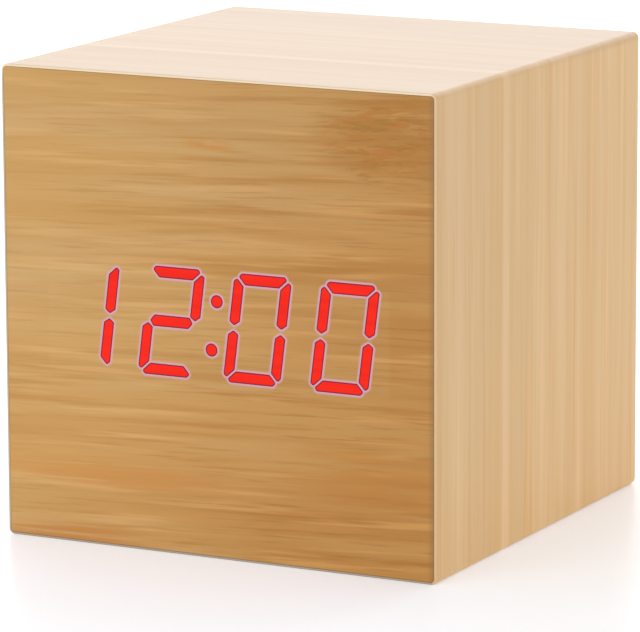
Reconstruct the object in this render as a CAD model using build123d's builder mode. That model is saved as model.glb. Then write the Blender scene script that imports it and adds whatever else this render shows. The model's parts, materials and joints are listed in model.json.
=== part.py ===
from build123d import *
from math import cos, pi, sin, sqrt, tan
import os

# Digital desk clock in a cube of wood-film boards. A red four-digit light module
# shines through the front film. The back holds the buttons, the supply socket and
# the battery door.
# Frame: x to the right as the face is read, y away from the reader, z up.
# The origin is the middle of the bottom face. Every length is in millimetres.

os.makedirs("parts", exist_ok=True)

# Cube, whose side follows from what it holds: 62 mm with the sizes below
film_thickness = 0.3  # printed wood-grain film
film_fold_radius = 0.8  # outside of the folds along the four long edges
film_edge_round = 0.12  # cut edges of the folded film
film_seam = 0.05  # open seam between the front film and the folded film
board_thickness = 3.0

# Digits
digit_height = 14.2
digit_width = 8.2
digit_pitch = 12.37
digit_slant_share = 0.13  # how far the digits lean for each unit of height
segment_width = 1.5
segment_gap = 0.26
segment_bevel = 1.05  # outer corners of a digit, measured along its edge
segment_tip = 0.55
segment_tip_round = 0.3
middle_gap = 0.3  # from a digit's middle line to the tips beside it
middle_inset = 0.25
colon_dot_diameter = 1.7
colon_dot_spread = 6.3
display_centre_x = -0.25
display_drop = 0.65  # from the middle of the face down to the middle of the digits

# Light module behind the digits
module_side_margin = 0.41  # beside the outer digits' cells
module_margin = 2.4  # above and below the digits
module_depth = 7.0
module_clearance = 0.15
diffuser_thickness = 0.2
circuit_thickness = 1.2
display_board_side_margin = 1.85  # beside the module
display_side_room = 0.7  # from the board's ends to the housing
spacer_diameter = 4.0
spacer_gap = 0.5  # from the module to the spacers
spacer_edge = 1.0  # from the spacers to the board's edge
chip_length = 1.6
chip_width = 0.8
chip_height = 0.6

# Screws, one kind for all: pan heads with a cross recess
screw_head_diameter = 3.2
screw_head_height = 0.9
screw_head_taper = 18  # degrees
screw_shank_diameter = 1.8
screw_clearance = 0.05
screw_bite = 2.2  # how far a screw goes into what holds it
recess_length = 1.8
recess_width = 0.45
recess_depth = 0.5

# Back cover
cover_clearance = 0.15
cover_recess = 1.0  # how far the cover sits inside the back edges
cover_thickness = 2.4
tray_wall = 1.2
block_side = 4.0
block_length = 20.0
block_gap = 0.15  # from the lower blocks to the tray
block_room = 0.55  # from the upper blocks to the control board
cover_screw_bite = 6.0

# Cells, three of the 10.5 by 44.5 size
cell_diameter = 10.5
cell_length = 44.5
cell_nub_diameter = 3.8
cell_nub_length = 1.0
cell_shoulder = 0.5
cell_gap = 0.2  # between two cells
cell_side_gap = 0.3  # between a cell and the tray
cell_end_gap = 0.05
cell_count = 3
spring_room = 5.2  # length of a pressed spring
tray_side_room = 1.3  # from the tray's ends to the housing

# Battery door
door_thickness = 1.4
door_ledge = 1.0  # width of the ledge the door lies on
door_clearance = 0.15
door_cell_gap = 0.6
tongue_width = 6.0
tongue_thickness = 0.8
tongue_length = 1.9  # below the door's lower edge
tongue_offset = 15.0
tongue_clearance = 0.3
tongue_play = 0.1  # between a tongue and the lip that it hooks behind
lip_thickness = 0.9
latch_width = 8.0
latch_thickness = 0.7
latch_height = 3.0
latch_depth = 3.1
latch_catch = 0.8
latch_catch_length = 0.6
latch_clearance = 0.3
grip_rib_count = 3
grip_rib_length = 10.0
grip_rib_width = 0.8
grip_rib_height = 0.3
grip_rib_pitch = 1.8

# Control board behind the buttons
control_board_height = 11.4
control_board_gap = 1.2  # above the tray
control_head_room = 1.05  # above the board
control_side_margin = 0.2  # beside the posts
control_gap = 1.0  # between two parts in the row on its outer face
post_diameter = 4.0

# Buttons and their switches
button_names = ("set", "up", "down")
button_diameter = 4.4
button_clearance = 0.05
button_proud = 0.9
button_edge_round = 0.3
button_flange = 0.6
button_flange_thickness = 0.8
button_flange_gap = 0.1
button_stem = 0.8  # between the flange and the plunger
switch_side = 6.0
switch_gap = 2.0
switch_height = 3.5
plunger_diameter = 3.3
plunger_clearance = 0.05
plunger_sunk = 0.9
plunger_well = 0.5  # free depth under the plunger
plunger_proud = 1.1

# Supply socket, microphone and the other components
socket_width = 6.4
socket_height = 6.0
socket_nose_diameter = 5.4
socket_nose_clearance = 0.1
socket_nose_sunk = 0.2  # below the cover's outer face
socket_bore_diameter = 3.7
socket_bore_depth = 6.0
socket_pin_diameter = 1.3
socket_pin_length = 5.2
socket_pin_round = 0.3
socket_face_gap = 0.1
microphone_diameter = 4.0
microphone_length = 2.4
microphone_clearance = 0.05
microphone_collar_wall = 0.7
microphone_collar_depth = 2.0
microphone_face_gap = 0.1
microphone_port_diameter = 1.2
microphone_leg_diameter = 0.4
microphone_leg_pitch = 2.0
controller_length = 10.0
controller_width = 5.0
controller_height = 1.6
controller_rise = 0.9  # above the header
controller_lead_count = 7
controller_lead_width = 0.4
controller_lead_reach = 0.9
controller_lead_height = 0.8
crystal_diameter = 2.0
crystal_length = 6.0
capacitor_diameter = 5.0
capacitor_height = 7.0
capacitor_edge = 0.4
buzzer_diameter = 9.0
buzzer_height = 4.5
buzzer_port_diameter = 1.6
buzzer_port_depth = 1.0
thermistor_diameter = 1.6
thermistor_leg_diameter = 0.4
thermistor_leg_pitch = 0.8
thermistor_standoff = 2.4  # from the board to the middle of the bead

# Wiring
ribbon_width = 9.0
ribbon_thickness = 0.9
ribbon_run_share = 0.375  # of the way between the boards, at each end before its bend
header_width = 11.0
header_height = 3.0
header_depth = 2.5
ribbon_front_drop = 8.0  # below the display board's upper edge
ribbon_back_rise = 1.9  # above the control board's lower edge
wire_diameter = 1.0
wire_stub_length = 7.5  # how far a lead stands off the contact's tail before it turns up
wire_bow = 2.5  # how far the long lead bows out on its way up
wire_bow_height_shares = (0.3, 0.65)  # where it bows, between its two ends
wire_board_inset = 3.4
bend_share = 0.45

# Battery contacts
contact_thickness = 0.3
contact_side = 8.6
contact_tail_width = 2.4
contact_tail_length = 1.6  # past the tray's floor
contact_gap = 0.02
spring_wire = 0.7
spring_large_diameter = 7.4
spring_small_diameter = 4.4
spring_turns = 3

# Overrun of every cut past the face it starts from
overrun = 0.5

# Sizes that follow from the contents
digit_count = 4
module_width = digit_count * digit_pitch + 2 * module_side_margin
module_height = digit_height + 2 * module_margin
display_board_width = module_width + 2 * display_board_side_margin
display_board_height = module_height + 2 * (spacer_gap + spacer_diameter + spacer_edge)

cell_pitch = cell_diameter + cell_gap
tray_length = cell_length + spring_room + 2 * (contact_thickness + cell_end_gap)
cell_stack = cell_count * cell_diameter + (cell_count - 1) * cell_gap
tray_height = cell_side_gap + cell_stack + latch_height
tray_foot = block_side + block_gap

collar_bore = microphone_diameter + 2 * microphone_clearance
collar_diameter = collar_bore + 2 * microphone_collar_wall
switch_pitch = switch_side + switch_gap
switch_row = len(button_names) * switch_pitch - switch_gap
control_row = 2 * post_diameter + collar_diameter + switch_row + socket_width + 4 * control_gap
control_board_width = control_row + 2 * control_side_margin
cap_depth = button_stem + button_flange_thickness + button_flange_gap
control_board_depth = switch_height + plunger_proud + cap_depth

# The housing is as large as the largest of its contents asks, and it is a cube
tray_with_walls = tray_height + 2 * tray_wall
inner_height = tray_foot + tray_with_walls + control_board_gap + control_board_height + control_head_room
inner_side = max(
    inner_height,
    tray_length + 2 * (tray_wall + tray_side_room),
    display_board_width + 2 * display_side_room,
    control_board_width + 2 * (block_side + block_room),
)
cube_side = inner_side + 2 * (board_thickness + film_thickness)
print(f"side of the cube: {cube_side:.3f} mm")

# Faces and places that follow from the sizes above
front_y = -cube_side / 2
back_y = cube_side / 2
board_front_y = front_y + film_thickness
skin_x = cube_side / 2 - film_thickness
skin_low_z = film_thickness
skin_high_z = cube_side - film_thickness
skin_corner_radius = film_fold_radius - film_thickness
inner_x = inner_side / 2
inner_low_z = skin_low_z + board_thickness
inner_high_z = skin_high_z - board_thickness
front_board_back_y = board_front_y + board_thickness
display_centre_z = cube_side / 2 - display_drop
module_front_y = board_front_y + diffuser_thickness
module_back_y = module_front_y + module_depth
display_board_back_y = module_back_y + circuit_thickness

cover_outer_y = back_y - cover_recess
cover_inner_y = cover_outer_y - cover_thickness
cover_x = inner_x - cover_clearance
cover_low_z = inner_low_z + cover_clearance
cover_high_z = inner_high_z - cover_clearance
block_middle_x = inner_x - block_side / 2
block_low_z = inner_low_z + block_side / 2
block_high_z = inner_high_z - block_side / 2

door_inner_y = cover_outer_y - door_thickness
cell_y = door_inner_y - door_cell_gap - cell_diameter / 2
tray_floor_y = cell_y - cell_diameter / 2 - cell_side_gap
tray_x = tray_length / 2
tray_low_z = inner_low_z + tray_foot + tray_wall
tray_high_z = tray_low_z + tray_height
cell_first_z = tray_low_z + cell_side_gap + cell_diameter / 2
latch_top_z = tray_high_z - latch_clearance
latch_root_z = latch_top_z - latch_height

hinge_y = door_inner_y + door_thickness / 2
hinge_z = tray_low_z - door_ledge + door_clearance + door_thickness / 2
door_top_z = tray_high_z + door_ledge - door_clearance
door_x = tray_x + door_ledge - door_clearance

control_low_z = tray_high_z + tray_wall + control_board_gap
control_middle_z = control_low_z + control_board_height / 2
control_back_y = cover_inner_y - control_board_depth
control_front_y = control_back_y - circuit_thickness
half_control_x = control_board_width / 2
post_x = half_control_x - control_side_margin - post_diameter / 2

# Row on the control board's outer face: post, microphone, switches, socket, post
microphone_x = -post_x + post_diameter / 2 + control_gap + collar_diameter / 2
button_first_x = microphone_x + collar_diameter / 2 + control_gap + switch_side / 2
socket_x = post_x - post_diameter / 2 - control_gap - socket_width / 2

# Row on its inner face, spread evenly between the two screws
inner_row_widths = (
    buzzer_diameter,
    controller_length,
    crystal_diameter,
    capacitor_diameter,
    thermistor_diameter,
)
inner_row_start = -post_x + screw_head_diameter / 2
inner_row_gap = (-2 * inner_row_start - sum(inner_row_widths)) / (len(inner_row_widths) + 1)
inner_row_places = []
for place, part_width in enumerate(inner_row_widths):
    before = sum(inner_row_widths[:place]) + (place + 1) * inner_row_gap
    inner_row_places.append(inner_row_start + before + part_width / 2)
buzzer_x, controller_x, crystal_x, capacitor_x, thermistor_x = inner_row_places

contact_face_x = tray_x - contact_thickness


def upright(y):
    """Upright plane at depth y with x to the right and z up; it faces the reader."""
    return Plane.XZ.offset(-y)


def slab(x_range, y_range, z_range, mode=Mode.ADD):
    """Square-cornered block between three pairs of faces."""
    ranges = (x_range, y_range, z_range)
    middle = tuple((low + high) / 2 for low, high in ranges)
    with Locations(middle):
        Box(*(high - low for low, high in ranges), mode=mode)


def rod(x, z, y_range, diameter, mode=Mode.ADD):
    """Round bar or hole along y."""
    low, high = y_range
    with BuildSketch(upright(low)) as section:
        with Locations((x, z)):
            Circle(diameter / 2)
    extrude(section.sketch, amount=low - high, mode=mode)


def save(piece, name):
    """Label a finished piece and write its file."""
    piece.part.label = name
    export_step(piece.part, f"parts/{name}.step")


# Housing: four boards mitred into a square tube
skin_corners = [(-skin_x, skin_low_z), (skin_x, skin_low_z), (skin_x, skin_high_z), (-skin_x, skin_high_z)]
inner_corners = [
    (-inner_x, inner_low_z),
    (inner_x, inner_low_z),
    (inner_x, inner_high_z),
    (-inner_x, inner_high_z),
]
board_names = ("bottom_board", "right_board", "top_board", "left_board")
for side, board_name in enumerate(board_names):
    after = (side + 1) % len(board_names)
    with BuildPart() as board:
        with BuildSketch(upright(board_front_y)):
            Polygon(
                skin_corners[side],
                skin_corners[after],
                inner_corners[after],
                inner_corners[side],
                align=None,
            )
            with Locations((0, cube_side / 2)):
                RectangleRounded(
                    2 * skin_x, skin_high_z - skin_low_z, skin_corner_radius, mode=Mode.INTERSECT
                )
        extrude(amount=board_front_y - back_y)
    save(board, board_name)

# Film folded once round the four boards, open at the front and at the back
with BuildPart() as wrap_film:
    with BuildSketch(upright(front_y)):
        with Locations((0, cube_side / 2)):
            RectangleRounded(cube_side, cube_side, film_fold_radius)
            RectangleRounded(
                2 * skin_x, skin_high_z - skin_low_z, skin_corner_radius, mode=Mode.SUBTRACT
            )
    extrude(amount=-cube_side)
    front_edges = wrap_film.faces().sort_by(Axis.Y)[0].outer_wire().edges()
    back_edges = wrap_film.faces().sort_by(Axis.Y)[-1].outer_wire().edges()
    fillet(front_edges + back_edges, radius=film_edge_round)
save(wrap_film, "wrap_film")


# Segments of a digit, drawn about the digit's centre before it leans
def segment_outline(segment):
    """Corner points of one segment, as (across, up) from the digit's centre."""
    half_width = digit_width / 2
    half_height = digit_height / 2
    mitre = segment_gap / sqrt(2)
    near = (segment_bevel - mitre) / 2
    far = (segment_bevel + mitre) / 2
    if segment == "middle":
        reach = half_width - segment_width / 2 - middle_inset
        flat = reach - segment_tip
        rise = segment_width / 2
        return [(-reach, 0), (-flat, -rise), (flat, -rise), (reach, 0), (flat, rise), (-flat, rise)]
    if segment in ("top", "bottom"):
        up = 1 if segment == "top" else -1
        outer = half_width - segment_bevel
        inner = half_width - segment_width - mitre
        level = half_height - segment_width
        right_half = [(outer, half_height), (half_width - far, half_height - near), (inner, level)]
        left_half = [(-across, height) for across, height in reversed(right_half)]
        return [(across, up * height) for across, height in right_half + left_half]
    up = 1 if segment.startswith("upper") else -1
    right = 1 if segment.endswith("right") else -1
    shoulder = middle_gap + segment_tip
    corners = [
        (half_width, half_height - segment_bevel),
        (half_width, shoulder),
        (half_width - segment_width / 2, middle_gap),
        (half_width - segment_width, shoulder),
        (half_width - segment_width, half_height - segment_width - mitre),
        (half_width - near, half_height - far),
    ]
    return [(right * across, up * height) for across, height in corners]


all_segments = ("top", "upper_right", "lower_right", "bottom", "lower_left", "upper_left", "middle")
one = ("upper_right", "lower_right")
two = ("top", "upper_right", "middle", "lower_left", "bottom")
zero = ("top", "upper_right", "lower_right", "bottom", "lower_left", "upper_left")
shown_digits = (one, two, zero, zero)
digit_centres = [
    display_centre_x + (place - (digit_count - 1) / 2) * digit_pitch for place in range(digit_count)
]


def lean(across, up, centre_x):
    """Place a point of a digit on the face, leaning to the right as it rises."""
    return (centre_x + across + digit_slant_share * up, display_centre_z + up)


def digit_face(centre_x, segments):
    """Outlines of some segments of one digit, in the plane of the front face."""
    with BuildSketch(upright(front_y)) as face:
        for segment in segments:
            points = [lean(across, up, centre_x) for across, up in segment_outline(segment)]
            Polygon(*points, align=None)
        fillet(face.vertices(), radius=segment_tip_round)
    return face.sketch


def colon_face():
    """The two dots between the second and the third digit."""
    dots = [lean(0, side * colon_dot_spread / 2, display_centre_x) for side in (-1, 1)]
    with BuildSketch(upright(front_y)) as face:
        with Locations(*dots):
            Circle(colon_dot_diameter / 2)
    return face.sketch


lit_faces = {
    f"digit_{place + 1}": digit_face(centre_x, segments)
    for place, (centre_x, segments) in enumerate(zip(digit_centres, shown_digits))
}
lit_faces["colon"] = colon_face()

# Front film, with the lit shapes as flush windows of the same thickness
with BuildPart() as front_film:
    with BuildSketch(upright(front_y)):
        with Locations((0, cube_side / 2)):
            RectangleRounded(
                2 * (skin_x - film_seam),
                skin_high_z - skin_low_z - 2 * film_seam,
                skin_corner_radius - film_seam,
            )
    extrude(amount=-film_thickness)
    for lit_face in lit_faces.values():
        extrude(lit_face, amount=-film_thickness, mode=Mode.SUBTRACT)
save(front_film, "front_film")

for lit_name, lit_face in lit_faces.items():
    with BuildPart() as lit_shape:
        extrude(lit_face, amount=-film_thickness)
    save(lit_shape, lit_name)

# Front board, with a window for the light module and pilot holes for its screws
display_screw_x = display_board_width / 2 - spacer_edge - spacer_diameter / 2
display_screw_z = display_board_height / 2 - spacer_edge - spacer_diameter / 2
display_screw_places = [
    (display_centre_x + across * display_screw_x, display_centre_z + up * display_screw_z)
    for across in (-1, 1)
    for up in (-1, 1)
]
pilot_diameter = screw_shank_diameter + 2 * screw_clearance
with BuildPart() as front_board:
    slab((-inner_x, inner_x), (board_front_y, front_board_back_y), (inner_low_z, inner_high_z))
    with BuildSketch(upright(board_front_y)):
        with Locations((display_centre_x, display_centre_z)):
            Rectangle(module_width + 2 * module_clearance, module_height + 2 * module_clearance)
    extrude(amount=-board_thickness, mode=Mode.SUBTRACT)
    for x, z in display_screw_places:
        pilot_y = front_board_back_y - screw_bite - screw_clearance
        rod(x, z, (pilot_y, front_board_back_y), pilot_diameter, Mode.SUBTRACT)
save(front_board, "front_board")

# Light module: a diffusing sheet, a block of light wells, the light chips and their board
module_x = (display_centre_x - module_width / 2, display_centre_x + module_width / 2)
module_z = (display_centre_z - module_height / 2, display_centre_z + module_height / 2)
with BuildPart() as diffuser_sheet:
    slab(module_x, (board_front_y, module_front_y), module_z)
save(diffuser_sheet, "diffuser_sheet")

well_length = module_back_y - front_y + overrun
with BuildPart() as display_reflector:
    slab(module_x, (module_front_y, module_back_y), module_z)
    for centre_x in digit_centres:
        extrude(digit_face(centre_x, all_segments), amount=-well_length, mode=Mode.SUBTRACT)
    extrude(lit_faces["colon"], amount=-well_length, mode=Mode.SUBTRACT)
save(display_reflector, "display_reflector")


def segment_middle(segment):
    """Middle of one segment, as (across, up) from the digit's centre."""
    points = segment_outline(segment)
    across = sum(point[0] for point in points) / len(points)
    up = sum(point[1] for point in points) / len(points)
    return across, up


with BuildPart() as light_chips:
    chip_y = (module_back_y - chip_height, module_back_y)
    for centre_x in digit_centres:
        for segment in all_segments:
            x, z = lean(*segment_middle(segment), centre_x)
            lying = segment in ("top", "middle", "bottom")
            half_x = (chip_length if lying else chip_width) / 2
            half_z = (chip_width if lying else chip_length) / 2
            slab((x - half_x, x + half_x), chip_y, (z - half_z, z + half_z))
    for side in (-1, 1):
        x, z = lean(0, side * colon_dot_spread / 2, display_centre_x)
        half_side = chip_width / 2
        slab((x - half_side, x + half_side), chip_y, (z - half_side, z + half_side))
save(light_chips, "light_chips")

display_board_x = display_board_width / 2
display_board_z = display_board_height / 2
with BuildPart() as display_board:
    slab(
        (display_centre_x - display_board_x, display_centre_x + display_board_x),
        (module_back_y, display_board_back_y),
        (display_centre_z - display_board_z, display_centre_z + display_board_z),
    )
    for x, z in display_screw_places:
        rod(x, z, (module_back_y - overrun, display_board_back_y + overrun), pilot_diameter, Mode.SUBTRACT)
save(display_board, "display_board")

with BuildPart() as display_spacers:
    for x, z in display_screw_places:
        rod(x, z, (front_board_back_y, module_back_y), spacer_diameter)
    for x, z in display_screw_places:
        rod(x, z, (front_board_back_y, module_back_y), pilot_diameter, Mode.SUBTRACT)
save(display_spacers, "display_spacers")


def screw(x, z, seat_y, facing, shank_length):
    """Pan-head screw whose head stands on the seat and faces along y, by +1 or -1."""
    seat = Plane(origin=(x, seat_y, z), x_dir=(1, 0, 0), z_dir=(0, facing, 0))
    with BuildSketch(seat) as head:
        Circle(screw_head_diameter / 2)
    extrude(head.sketch, amount=screw_head_height, taper=screw_head_taper)
    with BuildSketch(seat) as shank:
        Circle(screw_shank_diameter / 2)
    extrude(shank.sketch, amount=-shank_length)
    with BuildSketch(seat.offset(screw_head_height)) as cross:
        Rectangle(recess_length, recess_width)
        Rectangle(recess_width, recess_length)
    extrude(cross.sketch, amount=-recess_depth, mode=Mode.SUBTRACT)


with BuildPart() as display_screws:
    reach = display_board_back_y - front_board_back_y + screw_bite
    for x, z in display_screw_places:
        screw(x, z, display_board_back_y, 1, reach)
save(display_screws, "display_screws")

# Glue blocks in the corners, which the back cover is screwed to
cover_screw_places = [(side * block_middle_x, z) for side in (-1, 1) for z in (block_low_z, block_high_z)]
with BuildPart() as corner_blocks:
    for x, z in cover_screw_places:
        half_side = block_side / 2
        block_y = (cover_inner_y - block_length, cover_inner_y)
        slab((x - half_side, x + half_side), block_y, (z - half_side, z + half_side))
    for x, z in cover_screw_places:
        pilot_y = cover_inner_y - cover_screw_bite - screw_clearance
        rod(x, z, (pilot_y, cover_inner_y), pilot_diameter, Mode.SUBTRACT)
save(corner_blocks, "corner_blocks")

# Back cover, moulded in one with the battery tray, the posts and the microphone collar
post_places = [(-post_x, control_middle_z), (post_x, control_middle_z)]
button_places = [
    (button_first_x + place * switch_pitch, control_middle_z) for place in range(len(button_names))
]
tongue_places = (-tongue_offset, tongue_offset)
tongue_low_z = hinge_z - door_thickness / 2 - tongue_length
lip_y = cover_outer_y - lip_thickness
tongue_y = (lip_y - tongue_play - tongue_thickness, lip_y - tongue_play)
tongue_sweep = sqrt((hinge_z - tongue_low_z) ** 2 + (hinge_y - tongue_y[0]) ** 2)
latch_half = latch_width / 2
tail_x = (contact_face_x - contact_gap, tray_x)
with BuildPart() as back_cover:
    slab((-cover_x, cover_x), (cover_inner_y, cover_outer_y), (cover_low_z, cover_high_z))
    slab(
        (-tray_x - tray_wall, tray_x + tray_wall),
        (tray_floor_y - tray_wall, cover_inner_y),
        (tray_low_z - tray_wall, tray_high_z + tray_wall),
    )
    for x, z in post_places:
        rod(x, z, (control_back_y, cover_inner_y), post_diameter)
    collar_y = (cover_inner_y - microphone_collar_depth, cover_inner_y)
    rod(microphone_x, control_middle_z, collar_y, collar_diameter)
    # Inside of the tray, and the shallow rebate that the door lies in
    slab(
        (-tray_x, tray_x),
        (tray_floor_y, cover_outer_y + overrun),
        (tray_low_z, tray_high_z),
        Mode.SUBTRACT,
    )
    slab(
        (-tray_x - door_ledge, tray_x + door_ledge),
        (door_inner_y, cover_outer_y + overrun),
        (tray_low_z - door_ledge, tray_high_z + door_ledge),
        Mode.SUBTRACT,
    )
    # Slots that the door's tongues hook into, and the slot that the latch's catch hooks into
    for x in tongue_places:
        slot_half = tongue_width / 2 + tongue_clearance
        slab(
            (x - slot_half, x + slot_half),
            (hinge_y - tongue_sweep - tongue_clearance, lip_y),
            (tongue_low_z - tongue_clearance, tray_low_z + overrun),
            Mode.SUBTRACT,
        )
    slab(
        (-latch_half - latch_clearance, latch_half + latch_clearance),
        (door_inner_y - door_ledge - latch_depth, cover_inner_y),
        (tray_high_z - overrun, tray_high_z + latch_catch + latch_clearance),
        Mode.SUBTRACT,
    )
    # Holes for the buttons, the socket, the microphone, the screws and the contact tails
    through = (cover_inner_y - overrun, cover_outer_y + overrun)
    for x, z in button_places:
        rod(x, z, through, button_diameter + 2 * button_clearance, Mode.SUBTRACT)
    nose_hole = socket_nose_diameter + 2 * socket_nose_clearance
    rod(socket_x, control_middle_z, through, nose_hole, Mode.SUBTRACT)
    rod(microphone_x, control_middle_z, collar_y, collar_bore, Mode.SUBTRACT)
    rod(microphone_x, control_middle_z, through, microphone_port_diameter, Mode.SUBTRACT)
    for x, z in cover_screw_places:
        rod(x, z, through, pilot_diameter, Mode.SUBTRACT)
    for x, z in post_places:
        pilot_y = control_back_y + screw_bite + screw_clearance
        rod(x, z, (control_back_y, pilot_y), pilot_diameter, Mode.SUBTRACT)
    for side, level in ((-1, cell_count - 1), (1, 0)):
        low_x, high_x = sorted((side * tail_x[0], side * tail_x[1]))
        tail_z = cell_first_z + level * cell_pitch
        half_tail = contact_tail_width / 2 + contact_gap
        floor_y = (tray_floor_y - tray_wall, tray_floor_y)
        slab((low_x, high_x), floor_y, (tail_z - half_tail, tail_z + half_tail), Mode.SUBTRACT)
save(back_cover, "back_cover")

with BuildPart() as back_cover_screws:
    for x, z in cover_screw_places:
        screw(x, z, cover_outer_y, 1, cover_thickness + cover_screw_bite)
save(back_cover_screws, "back_cover_screws")

# Battery door: a panel whose lower edge is round about the hinge line, with two tongues
door_y = (door_inner_y, cover_outer_y)
with BuildPart() as battery_door:
    slab((-door_x, door_x), door_y, (hinge_z, door_top_z))
    with BuildSketch(Plane.YZ.offset(-door_x)):
        with Locations((hinge_y, hinge_z)):
            Circle(door_thickness / 2)
    extrude(amount=2 * door_x)
    for x in tongue_places:
        half_tongue = tongue_width / 2
        slab((x - half_tongue, x + half_tongue), tongue_y, (tongue_low_z, hinge_z + tongue_length))
    notch_half = latch_half + latch_clearance
    slab((-notch_half, notch_half), door_y, (latch_root_z, door_top_z + overrun), Mode.SUBTRACT)
    for rib in range(grip_rib_count):
        rib_top_z = latch_root_z - (rib + 1) * grip_rib_pitch
        slab(
            (-grip_rib_length / 2, grip_rib_length / 2),
            (cover_outer_y, cover_outer_y + grip_rib_height),
            (rib_top_z - grip_rib_width, rib_top_z),
        )
save(battery_door, "battery_door")

# Latch of the door: a folded spring tab whose catch sits behind the ledge
latch_fold_y = door_inner_y - latch_depth
latch_catch_y = cover_inner_y - latch_catch_length
with BuildPart() as door_latch:
    with BuildSketch(Plane.YZ.offset(-latch_half)) as latch_profile:
        Polygon(
            (cover_outer_y, latch_root_z),
            (cover_outer_y, latch_root_z + latch_thickness),
            (latch_fold_y + latch_thickness, latch_root_z + latch_thickness),
            (latch_fold_y + latch_thickness, latch_top_z - latch_thickness),
            (cover_outer_y, latch_top_z - latch_thickness),
            (cover_outer_y, latch_top_z),
            (cover_inner_y - contact_gap, latch_top_z),
            (cover_inner_y - contact_gap, latch_top_z + latch_catch),
            (latch_catch_y, latch_top_z),
            (latch_fold_y, latch_top_z),
            (latch_fold_y, latch_root_z),
            align=None,
        )
        fold_corners = latch_profile.vertices().group_by(Axis.X)[0]
        fillet(fold_corners, radius=latch_thickness)
    extrude(amount=latch_width)
save(door_latch, "door_latch")


# Cells lie across the tray, turned end for end from one to the next
def cell_direction(level):
    """Way from the nub to the flat end along x, for the cell at this level."""
    return 1 if (cell_count - 1 - level) % 2 == 0 else -1


def cell_nub_x(level):
    """Where the tip of the nub meets its contact."""
    return -cell_direction(level) * (contact_face_x - cell_end_gap)


cell_names = ("battery_bottom", "battery_middle", "battery_top")
for level, cell_name in enumerate(cell_names):
    way = cell_direction(level)
    nub_tip = (cell_nub_x(level), cell_y, cell_first_z + level * cell_pitch)
    radius = cell_diameter / 2
    with BuildPart() as cell:
        with BuildSketch(Plane(origin=nub_tip, x_dir=(way, 0, 0), z_dir=(0, -way, 0))):
            Polygon(
                (0, 0),
                (0, cell_nub_diameter / 2),
                (cell_nub_length, cell_nub_diameter / 2),
                (cell_nub_length, radius - cell_shoulder),
                (cell_nub_length + cell_shoulder, radius),
                (cell_length - cell_shoulder, radius),
                (cell_length, radius - cell_shoulder),
                (cell_length, 0),
                align=None,
            )
        revolve(axis=Axis(nub_tip, (way, 0, 0)))
    save(cell, cell_name)


# Battery contacts: plates against the tray's ends, with a coned spring for each flat end
def tangent_arcs(points, ways):
    """Two arcs from each point to the next, along the given directions, with no kink."""
    for here in range(len(points) - 1):
        start, end = points[here], points[here + 1]
        start_way, end_way = ways[here], ways[here + 1]
        chord = end - start
        along = chord.dot(start_way + end_way)
        bend = 2 - 2 * start_way.dot(end_way)
        reach = (sqrt(along * along + bend * chord.dot(chord)) - along) / bend
        joint = (start + end + (start_way - end_way) * reach) * 0.5
        joint_way = (end - end_way * reach) - (start + start_way * reach)
        TangentArc(start, joint, tangent=start_way)
        TangentArc(joint, end, tangent=joint_way.normalized())


def coned_spring(level):
    """Spring from the plate to the flat end of a cell, its wire on quarter turns."""
    way = cell_direction(level)
    middle_z = cell_first_z + level * cell_pitch
    plate_x = way * (contact_face_x - contact_gap - spring_wire / 2)
    flat_x = cell_nub_x(level) + way * (cell_length + cell_end_gap + spring_wire / 2)
    large = spring_large_diameter / 2 - spring_wire / 2
    small = spring_small_diameter / 2 - spring_wire / 2
    quarters = 4 * spring_turns
    points, ways = [], []
    for quarter in range(quarters + 1):
        done = quarter / quarters
        angle = quarter * pi / 2
        radius = large + (small - large) * done
        x = plate_x + (flat_x - plate_x) * done
        points.append(Vector(x, cell_y + radius * cos(angle), middle_z + radius * sin(angle)))
        shrink = (small - large) / (quarters * pi / 2)
        ahead = (flat_x - plate_x) / (quarters * pi / 2)
        outward = Vector(0, cos(angle), sin(angle))
        around = Vector(0, -sin(angle), cos(angle))
        ways.append((Vector(ahead, 0, 0) + outward * shrink + around * radius).normalized())
    with BuildLine() as wire_path:
        tangent_arcs(points, ways)
    with BuildSketch(Plane(origin=points[0], z_dir=ways[0])) as wire_section:
        Circle(spring_wire / 2)
    sweep(wire_section.sketch, path=wire_path.line)
    return abs(flat_x - plate_x) / spring_turns - spring_wire


def contact_plate(side, low_level, high_level):
    """Flat plate against one end of the tray, behind one cell or two."""
    low_x, high_x = sorted((side * contact_face_x, side * tray_x))
    half_plate = contact_side / 2
    low_z = cell_first_z + low_level * cell_pitch - half_plate
    high_z = cell_first_z + high_level * cell_pitch + half_plate
    slab((low_x, high_x), (cell_y - half_plate, cell_y + half_plate), (low_z, high_z))


def contact_tail(side, level):
    """Tail that passes through the tray's floor, for the lead."""
    low_x, high_x = sorted((side * contact_face_x, side * tray_x))
    tail_z = cell_first_z + level * cell_pitch
    half_tail = contact_tail_width / 2
    tail_y = (tray_floor_y - tray_wall - contact_tail_length, cell_y)
    slab((low_x, high_x), tail_y, (tail_z - half_tail, tail_z + half_tail))


with BuildPart() as contact_positive:
    contact_plate(-1, 2, 2)
    contact_tail(-1, 2)
save(contact_positive, "contact_positive")

with BuildPart() as contact_bridge_right:
    contact_plate(1, 1, 2)
    spring_gap = coned_spring(2)
save(contact_bridge_right, "contact_bridge_right")

with BuildPart() as contact_bridge_left:
    contact_plate(-1, 0, 1)
    coned_spring(1)
save(contact_bridge_left, "contact_bridge_left")

with BuildPart() as contact_negative:
    contact_plate(1, 0, 0)
    contact_tail(1, 0)
    coned_spring(0)
save(contact_negative, "contact_negative")
print(f"gap between the turns of a battery spring: {spring_gap:.2f} mm")

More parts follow.
